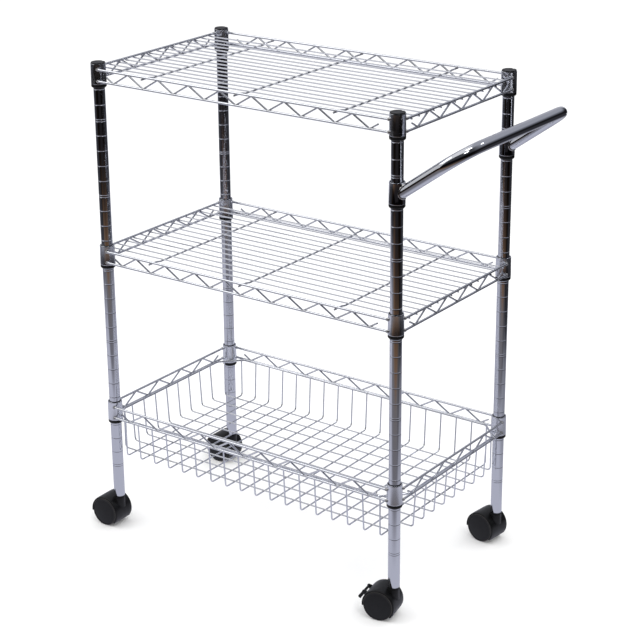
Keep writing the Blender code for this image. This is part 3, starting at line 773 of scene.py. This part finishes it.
for tier in TIERS:
    shape, mark = tier_shape(tier)
    add_piece(f"welded_frame_{tier}", shape, chrome_wire, "cart", [f"frame_{tier}"], mark)

# %% [markdown]
# ## Shelf decks
#
# A deck is 15 long wires welded across three cross wires. The long wires end
# under the short sides' upper rods, and the cross wires rise at their ends to
# meet the long sides' upper rods from below, where their cut tips stick out by
# two or three millimetres. Each crossing is a spot weld. The long wires ride
# up over the cross wires by a fraction of a millimetre, because the machine
# presses them together.

# %% Decks
DECK_WIRE_RADIUS = 1.25 * MM
DECK_WIRES = 15
DECK_EDGE = 19.4 * MM
SUPPORT_RADIUS = 1.5 * MM
WELD_SINK = 0.3 * MM
SUPPORT_BAYS = np.array([-3, 0, 3])
TIP_BEYOND_ROD = 2.2 * MM
RIDE_UP = 0.25 * MM
RIDE_LENGTH = 7.0 * MM


def deck_shape(tier):
    """Long wires at height h(x) = level + RIDE_UP * sum over supports s of
    exp(-((x - s) / RIDE_LENGTH)^2), on cross wires that rise to the rods at both ends."""
    under_rod = UPPER_ROD - ROD_RADIUS + WELD_SINK
    level = under_rod - DECK_WIRE_RADIUS
    below = level - DECK_WIRE_RADIUS - SUPPORT_RADIUS + 2 * WELD_SINK
    pitch = 2 * (half_x - STUB_FROM_POST["long"]) / BAYS["long"]
    supports_at = SUPPORT_BAYS * pitch
    reach = half_x + ROD_OFFSET + ROD_RADIUS
    along = np.unique(np.concatenate([np.linspace(-reach, reach, 9)] + [
        supports_at + offset * MM for offset in (-12.0, -6.0, 0.0, 6.0, 12.0)]))
    rise = RIDE_UP * np.exp(-(((along[:, None] - supports_at) / RIDE_LENGTH) ** 2)).sum(1)
    line = np.stack([along, np.zeros_like(along), level + rise], axis=1)
    places = np.linspace(-1, 1, DECK_WIRES) * (half_y - DECK_EDGE)
    shapes = [at_places(wire(line, ALONG_Y, DECK_WIRE_RADIUS, 8),
                        np.stack([0 * places, places, 0 * places], axis=1))]
    tip = half_y + ROD_OFFSET + ROD_RADIUS + TIP_BEYOND_ROD
    across = np.array([-tip, -half_y + 5.0 * MM, -half_y + 14.0 * MM])
    across = np.concatenate([across, -across[::-1]])
    under = under_rod - SUPPORT_RADIUS
    height = np.array([under, under, below, below, under, under])
    support = bent(np.stack([0 * across, across, height], axis=1), 8.0 * MM, 5)
    shapes.append(at_places(wire(support, ALONG_X, SUPPORT_RADIUS, 10),
                            np.stack([supports_at, 0 * supports_at, 0 * supports_at], axis=1)))
    crossing_x, crossing_y = np.meshgrid(supports_at, places)
    crossings = np.stack([crossing_x.ravel(), crossing_y.ravel(),
                          np.full(crossing_x.size, level - DECK_WIRE_RADIUS + 0.2 * MM)], axis=1)
    ends = np.array([(side * (half_x + ROD_OFFSET), y, under_rod - 0.2 * MM)
                     for side in (-1, 1) for y in places])
    tips = np.array([(x, side * (half_y + ROD_OFFSET), under_rod - 0.2 * MM)
                     for side in (-1, 1) for x in supports_at])
    welds = joined([
        at_places(bead((1.7 * MM, 1.6 * MM, 0.9 * MM)), np.concatenate([crossings, ends])),
        at_places(bead((2.0 * MM, 2.4 * MM, 1.0 * MM)), tips),
    ])
    deck, mark = with_welds(joined(shapes), welds)
    return moved(deck, (*centre, collar_foot[tier])), mark


for tier in ("top", "middle"):
    shape, mark = deck_shape(tier)
    add_piece(f"welded_deck_{tier}", shape, chrome_wire, "cart", [f"deck_{tier}"], mark)

# %% [markdown]
# ## Basket
#
# The basket hangs inside the lowest frame from a rim wire that follows the
# lower rods and cuts the corners inside the collars. U-shaped wires go both
# ways, the long ones lying on the short ones, and each crossing is spot
# welded. The walls lean in slightly towards the floor. Wires near a corner
# start from the rim's slanting run, so they stand further in.

# %% Basket
BASKET_DEPTH = 69.0 * MM
BASKET_WIRE_RADIUS = 1.25 * MM
RIM_RADIUS = 1.75 * MM
RIM_OUT = 6.45 * MM
RIM_CORNER = 28.5 * MM
BASKET_LEAN = 4.0 * MM
BASKET_BEND = 6.0 * MM
WIRES_ALONG_Y = 18
WIRES_ALONG_X = 10
EDGE_X = 25.0 * MM
EDGE_Y = 19.4 * MM


def rim_out(from_post):
    """How far outside the post axes the rim runs, by distance along the side from a post."""
    return RIM_OUT - np.maximum(0.0, RIM_CORNER - from_post)


def u_wire(half_across, from_post, rim, floor):
    """(across, height) corners of one U: down from the rim, in by the lean, and over the floor."""
    top = half_across + rim_out(from_post)
    foot = half_across + min(rim_out(from_post), RIM_OUT - BASKET_LEAN)
    across = np.array([top, foot, -foot, -top])
    return across, np.array([rim, floor, floor, rim])


def basket_shape():
    """The wires spaced along each kind of side, the rim as one closed loop, and the welds."""
    rim = LOWER_ROD
    floor = rim - BASKET_DEPTH
    lift = 2 * BASKET_WIRE_RADIUS - 0.3 * MM
    shapes = []
    tops = []
    places_x = np.linspace(-1, 1, WIRES_ALONG_Y) * (half_x - EDGE_X)
    places_y = np.linspace(-1, 1, WIRES_ALONG_X) * (half_y - EDGE_Y)
    for kind, places, level in (("long", places_x, floor), ("short", places_y, floor + lift)):
        normal, run, half_along, half_across = SIDES[kind]
        for place in places:
            across, height = u_wire(half_across, half_along - abs(place), rim, level)
            path = place * normal + across[:, None] * run + height[:, None] * ALONG_Z
            shapes.append(wire(bent(path, BASKET_BEND, 7), normal, BASKET_WIRE_RADIUS, 8))
            tops.append(path[[0, -1]])
    side_x, side_y = half_x + RIM_OUT, half_y + RIM_OUT
    turn_x, turn_y = half_x - RIM_CORNER, half_y - RIM_CORNER
    plan = np.array([(turn_x, side_y), (-turn_x, side_y), (-side_x, turn_y), (-side_x, -turn_y),
                     (-turn_x, -side_y), (turn_x, -side_y), (side_x, -turn_y), (side_x, turn_y)])
    looped = np.concatenate([plan[-1:], plan, plan[:1]])
    path = bent(np.column_stack([looped, np.full(len(looped), rim)]), 9.0 * MM, 6)[1:-1]
    shapes.append(carried(path, ALONG_Z, circle(RIM_RADIUS, 10), closed=True))
    crossing_x, crossing_y = np.meshgrid(places_x, places_y)
    crossings = np.stack([crossing_x.ravel(), crossing_y.ravel(),
                          np.full(crossing_x.size, floor + lift / 2)], axis=1)
    welds = joined([
        at_places(bead((1.6 * MM, 1.6 * MM, 1.1 * MM)), crossings),
        at_places(bead((1.9 * MM, 1.9 * MM, 1.6 * MM)), np.concatenate(tops)),
    ])
    basket, mark = with_welds(joined(shapes), welds)
    return moved(basket, (*centre, collar_foot["basket"])), mark


basket, mark = basket_shape()
add_piece("welded_basket", basket, chrome_wire, "cart", ["basket_wires"], mark)

# %% [markdown]
# ## Handle
#
# The handle is one tube bent twice on a former and welded to two collars. Its
# plane leans back from the posts, so the whole path is laid out in that plane:
# out along one arm, round a bend, across, and back. Where each arm meets its
# collar, a fillet of weld runs round the line in which the two cylinders cut
# each other.

# %% Handle
HANDLE_RADIUS = 9.0 * MM
HANDLE_REACH = 111.9 * MM
HANDLE_RISE = 81.0 * MM
HANDLE_BEND = 48.0 * MM
HANDLE_ROOT = 11.0 * MM
FILLET_RADIUS = 1.5 * MM
FILLET_RIPPLE = 0.12
FILLET_RIPPLES = 16
ARM_START = 6.0 * MM

arm = unit(np.array([HANDLE_REACH, 0.0, HANDLE_RISE]))
arm_up = np.array([-arm[2], 0.0, arm[0]])


def meeting_line(steps=48):
    """The line where a tube along the arm cuts the collar's cylinder. At angle a round the tube,
    y = r sin a and x = sqrt(R^2 - y^2), and the distance along the arm follows from x."""
    angle = ring_angles(steps)
    y = HANDLE_RADIUS * np.sin(angle)
    x = np.sqrt((COLLAR_RADIUS - 0.3 * MM) ** 2 - y ** 2)
    along = (x - HANDLE_RADIUS * np.cos(angle) * arm_up[0]) / arm[0]
    outward = np.cos(angle)[:, None] * arm_up + np.sin(angle)[:, None] * ALONG_Y
    return along[:, None] * arm + HANDLE_RADIUS * outward, outward


def fillet_shape():
    """A thin ring of weld along the meeting line, rippled once every few degrees."""
    line, outward = meeting_line()
    along = unit(np.roll(line, -1, 0) - np.roll(line, 1, 0))
    second = unit(np.cross(along, outward))
    section = circle(1.0, 8)
    size = FILLET_RADIUS * (1 + FILLET_RIPPLE * np.cos(ring_angles(len(line)) * FILLET_RIPPLES))
    offset = section[None, :, :1] * outward[:, None] + section[None, :, 1:] * second[:, None]
    points = line[:, None] + size[:, None, None] * offset
    return capped(points, close_rows=True)


def handle_shape():
    """The bent tube from inside one collar to inside the other, both collars and both fillets."""
    root = np.array([half_x, -half_y, HANDLE_ROOT])
    corner = root + np.array([HANDLE_REACH, 0.0, HANDLE_RISE])
    flip = np.array([1.0, -1.0, 1.0])
    path = bent([root, corner, corner * flip, root * flip], HANDLE_BEND, 22)
    start = root + arm * ARM_START
    path[0], path[-1] = start, start * flip
    normal = unit(np.cross(arm, ALONG_Y))
    fine = np.concatenate([np.linspace(path[0], path[1], 6)[:-1], path[1:-1],
                           np.linspace(path[-2], path[-1], 6)[1:]])
    tube = carried(fine, normal, circle(HANDLE_RADIUS, 32))
    foot = collar_foot["handle"]
    plain = [moved(tube, (*centre, foot))]
    welds = []
    for corner_name in ("front_right", "rear_right"):
        axis = post_axis[corner_name]
        plain.append(collar_shape(axis, foot))
        welds.append(moved(fillet_shape(), (*axis, foot + HANDLE_ROOT)))
    return with_welds(joined(plain), joined(welds))


handle, mark = handle_shape()
add_piece("bent_tube_handle", handle, chrome_tube, "cart", ["handle"], mark)

# %% [markdown]
# ## Casters
#
# A twin-wheel caster has a cover over both wheels, a web between them that
# holds the axle, and a boss on top for the stem. It is worked out about its
# axle with the stem in front, and then turned about its own post as the CAD
# has it. The turn is read from the swivel joint's wheel axis.

# %% Caster places
WHEEL_RADIUS = 25.0 * MM
TRAIL = 19.0 * MM


def joint_named(name):
    return next(joint for joint in frame["joints"] if joint["name"] == name)


def caster_frame(corner):
    """Turn matrix and axle place of a caster. The wheel joint's axis is the caster's own Y."""
    joint = joint_named(f"wheel_left_{corner}_spin")
    own_y = unit(np.array(joint["axis"], float))
    own_x = np.cross(own_y, ALONG_Z)
    return np.stack([own_x, own_y, ALONG_Z], axis=1), np.array(joint["pos_m"], float)


for corner in CORNERS:
    turn, place = caster_frame(corner)
    print(corner, "turned", round(math.degrees(math.atan2(turn[1, 0], turn[0, 0])), 1), "degrees")

# %% [markdown]
# ### Cover, lips, web and boss
#
# The cover is a band carried round the axle. Its section is a low arch with
# round shoulders, and at each side a thick lip stands round the wheel's disc.
# The web is a plate between the wheels. The boss is turned, but it flares only
# away from the front, so its radius grows with height and angle together.

# %% Cover
COVER_RADIUS = 26.8 * MM
COVER_FRONT = math.radians(-38.0)
COVER_REAR = math.radians(186.0)
LIP_SHARE = 0.965
LIP_SIDE = 20.4 * MM
LIP_RADIUS = 1.1 * MM
WEB_HALF = 5.4 * MM
HUB_RADIUS = 6.5 * MM
BOSS_FLARE = 0.4
FLARE_TOP = 28.0 * MM
FLARE_LENGTH = 8.0 * MM


def round_axle(radius, angle):
    """Points at an angle about the axle, measured from the front over the top."""
    angle = np.asarray(angle, float)
    return np.stack([radius * np.cos(angle), 0 * angle, radius * np.sin(angle)], axis=-1)


def cover_section():
    """(outwards, across) points of the arch, over the top from one lip and back inside."""
    right = np.array([(-1.1, 21.4), (-0.3, 21.4), (0.25, 21.0), (0.6, 20.2), (0.8, 18.5), (0.92, 12.0)])
    over = np.concatenate([right, right[::-1] * (1, -1)]) * MM
    under = np.array([(-1.0, -19.5), (-0.8, -18.5), (-0.8, 18.5), (-1.0, 19.5)]) * MM
    return np.concatenate([over[::-1], under[::-1]])


def cover_shape():
    """The arch carried round the axle, and the lips carried inside it."""
    path = round_axle(COVER_RADIUS, np.linspace(COVER_FRONT, COVER_REAR, 49))
    band = carried(path, ALONG_Y, cover_section())
    lip = carried(path * LIP_SHARE, ALONG_Y, circle(LIP_RADIUS, 10))
    lips = [moved(lip, (0.0, side * LIP_SIDE, 0.0)) for side in (-1, 1)]
    return joined([band, *lips])


def slab(outline, half_thickness, edge=0.4 * MM):
    """A plate from an anticlockwise (x, z) outline. Its two outer layers are the outline moved
    in by the edge, along the normal of each corner, so that the edges are rounded."""
    outline = np.asarray(outline, float)[::-1]
    along = unit(np.roll(outline, -1, 0) - np.roll(outline, 1, 0))
    inward = edge * np.stack([along[:, 1], -along[:, 0]], axis=1)
    layers = [(outline + inward, -half_thickness), (outline, edge - half_thickness),
              (outline, half_thickness - edge), (outline + inward, half_thickness)]
    return capped(np.stack([np.stack([flat[:, 0], np.full(len(flat), y), flat[:, 1]], axis=1)
                            for flat, y in layers]))


def web_shape():
    """The plate between the wheels: an arc just under the cover, closed round the hub."""
    rim = round_axle(COVER_RADIUS, np.linspace(math.radians(-36.0), math.radians(150.0), 30))
    hub = round_axle(HUB_RADIUS, np.linspace(math.radians(170.0), math.radians(300.0), 9))
    return slab(np.concatenate([rim, hub])[:, [0, 2]], WEB_HALF)


def boss_shape():
    """Radius = r(h) (1 + BOSS_FLARE * flare(h) (1 - cos a) / 2), so it grows away from the front."""
    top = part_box("caster_hood_front_left")[1].z / MM - WHEEL_RADIUS / MM
    rows = np.array([
        (4.3, 8.0), (8.8, 8.0), (8.8, 16.0), (8.8, 18.5), (8.8, 20.5), (8.8, 22.5), (8.8, 24.5),
        (8.8, 26.0), (8.8, top - 0.5), (8.4, top), (4.8, top), (4.3, top - 0.4),
    ]) * MM
    flare = np.clip((FLARE_TOP - rows[:, 1]) / FLARE_LENGTH, 0.0, 1.0) ** 1.5
    flare = flare * (rows[:, 0] > 8.0 * MM)
    angle = ring_angles(40)
    squeeze = 1 + BOSS_FLARE * flare[:, None] * (1 - np.cos(angle)) / 2
    return moved(turned(rows, 40, closed=True, squeeze=squeeze), (TRAIL, 0.0, 0.0))


print("the cover's section has", len(cover_section()), "points")

# %% [markdown]
# ### Brake lever and its ears
#
# Only the front right caster has a brake: a foot lever on a pin behind the
# cover. Its blade is a plate with rounded edges and three low ribs across the
# tip, where the shoe presses. Two ears on the cover hold the pin.

# %% Brake
PIVOT_ANGLE = math.radians(150.6)
PIVOT = round_axle(31.6 * MM, PIVOT_ANGLE)
LEVER_TIP = np.array([-10.5, -13.5]) * MM
BLADE_HALF = 1.5 * MM
BLADE_HALF_WIDTH = 8.2 * MM
BLADE_FULLER = 2.4 * MM
PIN_RADIUS = 1.2 * MM
RIB_RADIUS = 0.75 * MM
EAR_RADIUS = 3.0 * MM
EAR_HALF_ANGLE = math.radians(9.0)
EAR_AT = 10.35 * MM


def rounded_bar(radius, half_length, sides=20):
    """A short bar along Y with chamfered ends."""
    cut = 0.3 * MM
    path = np.array([-half_length, cut - half_length, half_length - cut, half_length])
    path = path[:, None] * ALONG_Y
    scale = np.array([1 - cut / radius, 1.0, 1.0, 1 - cut / radius])
    return carried(path, ALONG_Z, circle(radius, sides), scale)


def ear_shapes():
    """Two plates from the cover out to the pin: half a circle round it, and a root on the cover."""
    pivot = PIVOT[[0, 2]]
    around = np.linspace(math.radians(60.0), math.radians(240.0), 11)
    top = pivot + EAR_RADIUS * np.stack([np.cos(around), np.sin(around)], axis=1)
    root = round_axle(COVER_RADIUS, PIVOT_ANGLE + EAR_HALF_ANGLE * np.array([1, -1]))[:, [0, 2]]
    ear = slab(np.concatenate([top, root]), 1.25 * MM, 0.3 * MM)
    return [moved(ear, (0.0, side * EAR_AT, 0.0)) for side in (-1, 1)]


def lever_shape():
    """Blade outline: both sides of the line to the tip and round it, with the side towards the
    wheels fuller from the pin to the middle. A barrel turns on the pin, and ribs cross the tip."""
    length = np.linalg.norm(LEVER_TIP)
    along = LEVER_TIP / length
    beside = np.array([-along[1], along[0]])
    around = np.linspace(-math.pi / 2, math.pi / 2, 9)
    tip = (length - BLADE_HALF) + BLADE_HALF * np.cos(around)
    outline = np.concatenate([tip[:, None] * along + BLADE_HALF * np.sin(around)[:, None] * beside,
                              [BLADE_HALF * beside, -BLADE_HALF * beside]])
    inner = outline @ beside > 0
    fuller = BLADE_FULLER * np.clip(outline @ along / (0.6 * length), 0.0, 1.0)
    outline = outline + (inner * fuller)[:, None] * beside
    parts = [slab(outline, BLADE_HALF_WIDTH), rounded_bar(2.2 * MM, 8.5 * MM),
             rounded_bar(PIN_RADIUS, 11.6 * MM, 16)]
    for step in (0.68, 0.79, 0.90):
        place = step * length * along + 0.72 * BLADE_HALF * -beside
        rib = rounded_bar(RIB_RADIUS, 7.4 * MM, 10)
        parts.append(moved(rib, (place[0], 0.0, place[1])))
    return joined(parts)


print("brake pivot at", np.round(PIVOT / MM, 1), "mm from the axle")

# %% [markdown]
# ### Wheels
#
# A wheel is a nylon disc, slightly domed on its outer face, with a shallow
# ring groove and a hub. Two fine grooves run round the tread, and the edges
# are rounded. The mark is 1 on the tread, which picks up dust from the floor.

# %% Wheels
WHEEL_INNER_FACE = 6.3 * MM
TREAD_FROM = 24.2 * MM


def wheel_shape(outward):
    """Profile of (radius, distance from the web's side) rows, turned and then laid along Y."""
    rows = np.array([
        (3.1, 0.0), (23.2, 0.0), (24.3, 0.35), (24.9, 1.2), (25.0, 2.2), (25.0, 5.0), (24.75, 5.3),
        (25.0, 5.6), (25.0, 10.4), (24.75, 10.7), (25.0, 11.0), (25.0, 13.4), (24.85, 14.2),
        (24.3, 14.75), (23.4, 15.0), (22.4, 14.95), (21.9, 14.75), (21.4, 14.7), (20.6, 14.85),
        (16.0, 15.3), (10.0, 15.7), (5.0, 15.95), (2.0, 16.05), (0.4, 16.1), (0.4, 12.3), (3.1, 12.3),
    ]) * MM
    points, faces = turned(rows, 64, closed=True)
    tread = (np.hypot(points[:, 0], points[:, 1]) > TREAD_FROM).astype(float)
    lay = Matrix.Rotation(-outward * math.pi / 2, 3, "X")
    return placed((points, faces), np.array(lay), (0.0, outward * WHEEL_INNER_FACE, 0.0)), tread


for corner in CORNERS:
    turn, place = caster_frame(corner)
    parts = [cover_shape(), web_shape(), boss_shape(), rounded_bar(HUB_RADIUS, 5.7 * MM, 24)]
    if corner == "front_right":
        parts += ear_shapes()
        lever = placed(moved(lever_shape(), PIVOT), turn, place)
        add_piece("brake_lever", lever, black_nylon, "brake_lever_front_right",
                  ["brake_lever_front_right"])
    cover = placed(joined(parts), turn, place)
    add_piece(f"moulded_cover_{corner}", cover, black_nylon, f"swivel_{corner}",
              [f"caster_hood_{corner}"], sharp=40.0)
    for side, outward in (("left", -1), ("right", 1)):
        shape, tread = wheel_shape(outward)
        name = f"wheel_{side}_{corner}"
        wheel = placed(shape, turn, place)
        add_piece(f"nylon_{name}", wheel, black_nylon, name, [name], tread)

# %% [markdown]
# ## Floor and light
#
# Chrome shows what stands round it more than it shows itself. On a white sweep
# with nothing else it would be white on white, so a studio lets dark floor and
# dark walls into the mirror. Upright tubes mirror what lies low in front of
# them: the end of the pale paper, close to the cart, gives their feet a cool
# light grey, and the brown floor beyond it gives their tops a deep brown. The
# floor that the camera sees and the boards that the chrome sees are separate,
# and each is shown only to the rays that need it.

# %% Stage helpers
CAMERA_RIGHT = np.array([math.cos(CAMERA_HEADING), math.sin(CAMERA_HEADING), 0.0])
AWAY = np.array([-math.sin(CAMERA_HEADING), math.cos(CAMERA_HEADING), 0.0])


def stage_piece(name, shape, paint, for_camera):
    """A stage surface that is shown to the camera, or only to mirrors."""
    mesh = as_mesh(name, shape)
    mesh.materials.append(paint)
    piece = bpy.data.objects.new(name, mesh)
    bpy.context.scene.collection.objects.link(piece)
    piece.visible_camera = for_camera
    piece.visible_diffuse = for_camera
    piece.visible_glossy = not for_camera
    piece.visible_shadow = False
    return piece


def stops(value, table):
    """Linear colours at the values, between the (value, sRGB hex) rows of a table."""
    at = [row[0] for row in table]
    tones = np.array([linear(row[1])[:3] for row in table])
    return np.stack([np.interp(value, at, tones[:, channel]) for channel in range(3)], axis=-1)


GLOW = "glow"


def glow_paint():
    """One paint for everything that only mirrors see: it shines with the colour on each point."""
    paint = bpy.data.materials.new("mirrored_light")
    paint.use_nodes = True
    tree = paint.node_tree
    tone = add_node(tree, "ShaderNodeAttribute", attribute_name=GLOW)
    glow = add_node(tree, "ShaderNodeEmission", {"Color": tone.outputs["Color"]})
    tree.links.new(glow.outputs[0], tree.nodes["Material Output"].inputs["Surface"])
    return paint


mirrored_light = glow_paint()


def board(name, right, away, up, tones):
    """A sheet that mirrors see. right, away and up are (rows, columns) arrays from the camera's
    side, and tones is one linear colour for each point."""
    points = right[..., None] * CAMERA_RIGHT + away[..., None] * AWAY + up[..., None] * ALONG_Z
    rows, columns = right.shape
    faces = grid_faces(rows, columns, close_columns=False)
    piece = stage_piece(name, (points.reshape(-1, 3), [faces]), mirrored_light, False)
    opaque = np.ones((rows, columns, 1))
    colours = np.concatenate([np.broadcast_to(tones, points.shape), opaque], axis=-1)
    layer = piece.data.attributes.new(GLOW, "FLOAT_COLOR", "POINT")
    layer.data.foreach_set("color", colours.astype(np.float32).ravel())


print("stage helpers ready")

# %% [markdown]
# ### Floor and sky
#
# The floor that the camera sees is one large sheet of matt white paper under a
# white sky, just bright enough to lose its horizon. The cart keeps only a
# faint shade where its wheels touch the paper.

# %% Floor and sky
SKY_STRENGTH = 1.12
FLOOR_HALF = 12.0
FLOOR_LEVEL = -0.2 * MM

bpy.context.scene.view_settings.view_transform = "Standard"

world = bpy.data.worlds.new("studio")
bpy.context.scene.world = world
world.use_nodes = True
sky = world.node_tree.nodes["Background"]
sky.inputs["Color"].default_value = linear("#FFFFFF")
sky.inputs["Strength"].default_value = SKY_STRENGTH

floor_paint, _, floor_shader = new_finish("matt_white_paper", "#FAFAFA", 0.9, 0.0)
floor_shader.inputs["Specular IOR Level"].default_value = 0.0
floor = np.array([(-1, -1, 0), (1, -1, 0), (1, 1, 0), (-1, 1, 0)]) * FLOOR_HALF
floor = floor + (0.0, 0.0, FLOOR_LEVEL)
stage_piece("white_paper_floor", (floor, [np.array([[0, 1, 2, 3]])]), floor_paint, True)
print("floor", 2 * FLOOR_HALF, "m wide")

# %% [markdown]
# ### What the chrome sees
#
# In front of the cart the pale paper ends, then comes grey and then brown
# floor, and both sides fade to the dark of the room. Behind it the paper
# sweeps up, which lights the upper side of the handle. Overhead and on the
# left are a bright ceiling and a window. Round everything stands a room, grey
# high up and dark near the ground, and darker towards the camera. Each table
# below is a row of (metres or radians, colour) stops.

# %% Mirrored boards
MIRRORED_FLOOR_LEVEL = -2.0 * MM
CEILING_LEVEL = 3.3
WINDOW_SIDE = -3.2
ROOM_RADIUS = 9.0

right, away = np.meshgrid(np.linspace(-4.0, 4.0, 81), np.linspace(-4.0, 2.0, 61))
in_front = stops(-away, [
    (0.45, "#CBCCD9"), (0.70, "#7E7D84"), (1.10, "#7A7575"), (1.25, "#826855"),
    (1.50, "#67503E"), (1.80, "#42352D"), (2.20, "#252324"),
])
sideways = np.interp(right, [-1.9, -1.6, -1.25, 0.40, 0.75, 1.05, 1.25],
                     [0.08, 0.35, 1.0, 1.0, 0.60, 0.42, 0.06])
level = np.full_like(right, MIRRORED_FLOOR_LEVEL)
board("mirrored_floor", right, away, level, in_front * sideways[..., None])

SWEEP_START = 2.0
SWEEP_BEND = 0.6
SWEEP_TOP = 3.4
curve = np.linspace(0.0, math.pi / 2, 7)
sweep_away = SWEEP_START + SWEEP_BEND * np.concatenate([np.sin(curve), [1.0]])
sweep_up = np.concatenate([SWEEP_BEND * (1 - np.cos(curve)), [SWEEP_TOP]])
right, away = np.meshgrid(np.linspace(-2.6, 1.4, 9), sweep_away)
up = np.broadcast_to(sweep_up[:, None], right.shape)
board("mirrored_sweep", right, away, up, stops(up, [(0.0, "#C4C5CE"), (SWEEP_TOP, "#AFB0B8")]))

right, away = np.meshgrid([WINDOW_SIDE, -1.6, 0.2], [-1.8, 2.4])
board("mirrored_ceiling", right, away, np.full_like(right, CEILING_LEVEL), 0.95 * np.ones(3))
up, away = np.meshgrid([0.7, CEILING_LEVEL], [-1.8, 2.4])
board("mirrored_window", np.full_like(up, WINDOW_SIDE), away, up, 0.70 * np.ones(3))

turn, lift = np.meshgrid(np.linspace(0.0, 2 * math.pi, 49), np.linspace(-0.2, 1.55, 29))
to_camera = -np.sin(turn)
high = stops(lift, [(0.16, "#1E1E20"), (0.34, "#74767E"), (0.50, "#ACAEB6"), (1.50, "#B4B6BE")])
room = high * (1 - 0.85 * np.clip(to_camera + 0.35, 0.0, 1.0)[..., None])
reach = ROOM_RADIUS * np.cos(lift)
board("mirrored_room", reach * np.cos(turn), reach * np.sin(turn), ROOM_RADIUS * np.sin(lift), room)
print("mirrored boards set")

# %% [markdown]
# ### Lamps
#
# The lamps give the black plastic its soft sheen and draw white spots on the
# handle's bends. They are wide for their distance, so the spots have soft
# outlines and the shadows stay faint.

# %% Lamps
AIM = Vector((0.0, 0.0, 0.45))


def softbox(name, right, away, up, size, power):
    """A square area lamp at a place given from the camera's side, turned to the cart's middle."""
    lamp = bpy.data.lights.new(name, "AREA")
    lamp.shape = "SQUARE"
    lamp.size = size
    lamp.energy = power
    holder = bpy.data.objects.new(name, lamp)
    bpy.context.scene.collection.objects.link(holder)
    holder.location = Vector(right * CAMERA_RIGHT + away * AWAY + up * ALONG_Z)
    holder.rotation_euler = (AIM - holder.location).to_track_quat("-Z", "Y").to_euler()


softbox("left_softbox", -2.2, 0.1, 2.9, 1.8, 14.0)
softbox("top_softbox", 0.5, -0.6, 3.2, 0.8, 8.0)
softbox("front_lamp", 0.9, -2.2, 3.0, 0.75, 8.0)
softbox("right_lamp", 1.9, 0.6, 2.6, 0.45, 4.0)
print("lamps set")
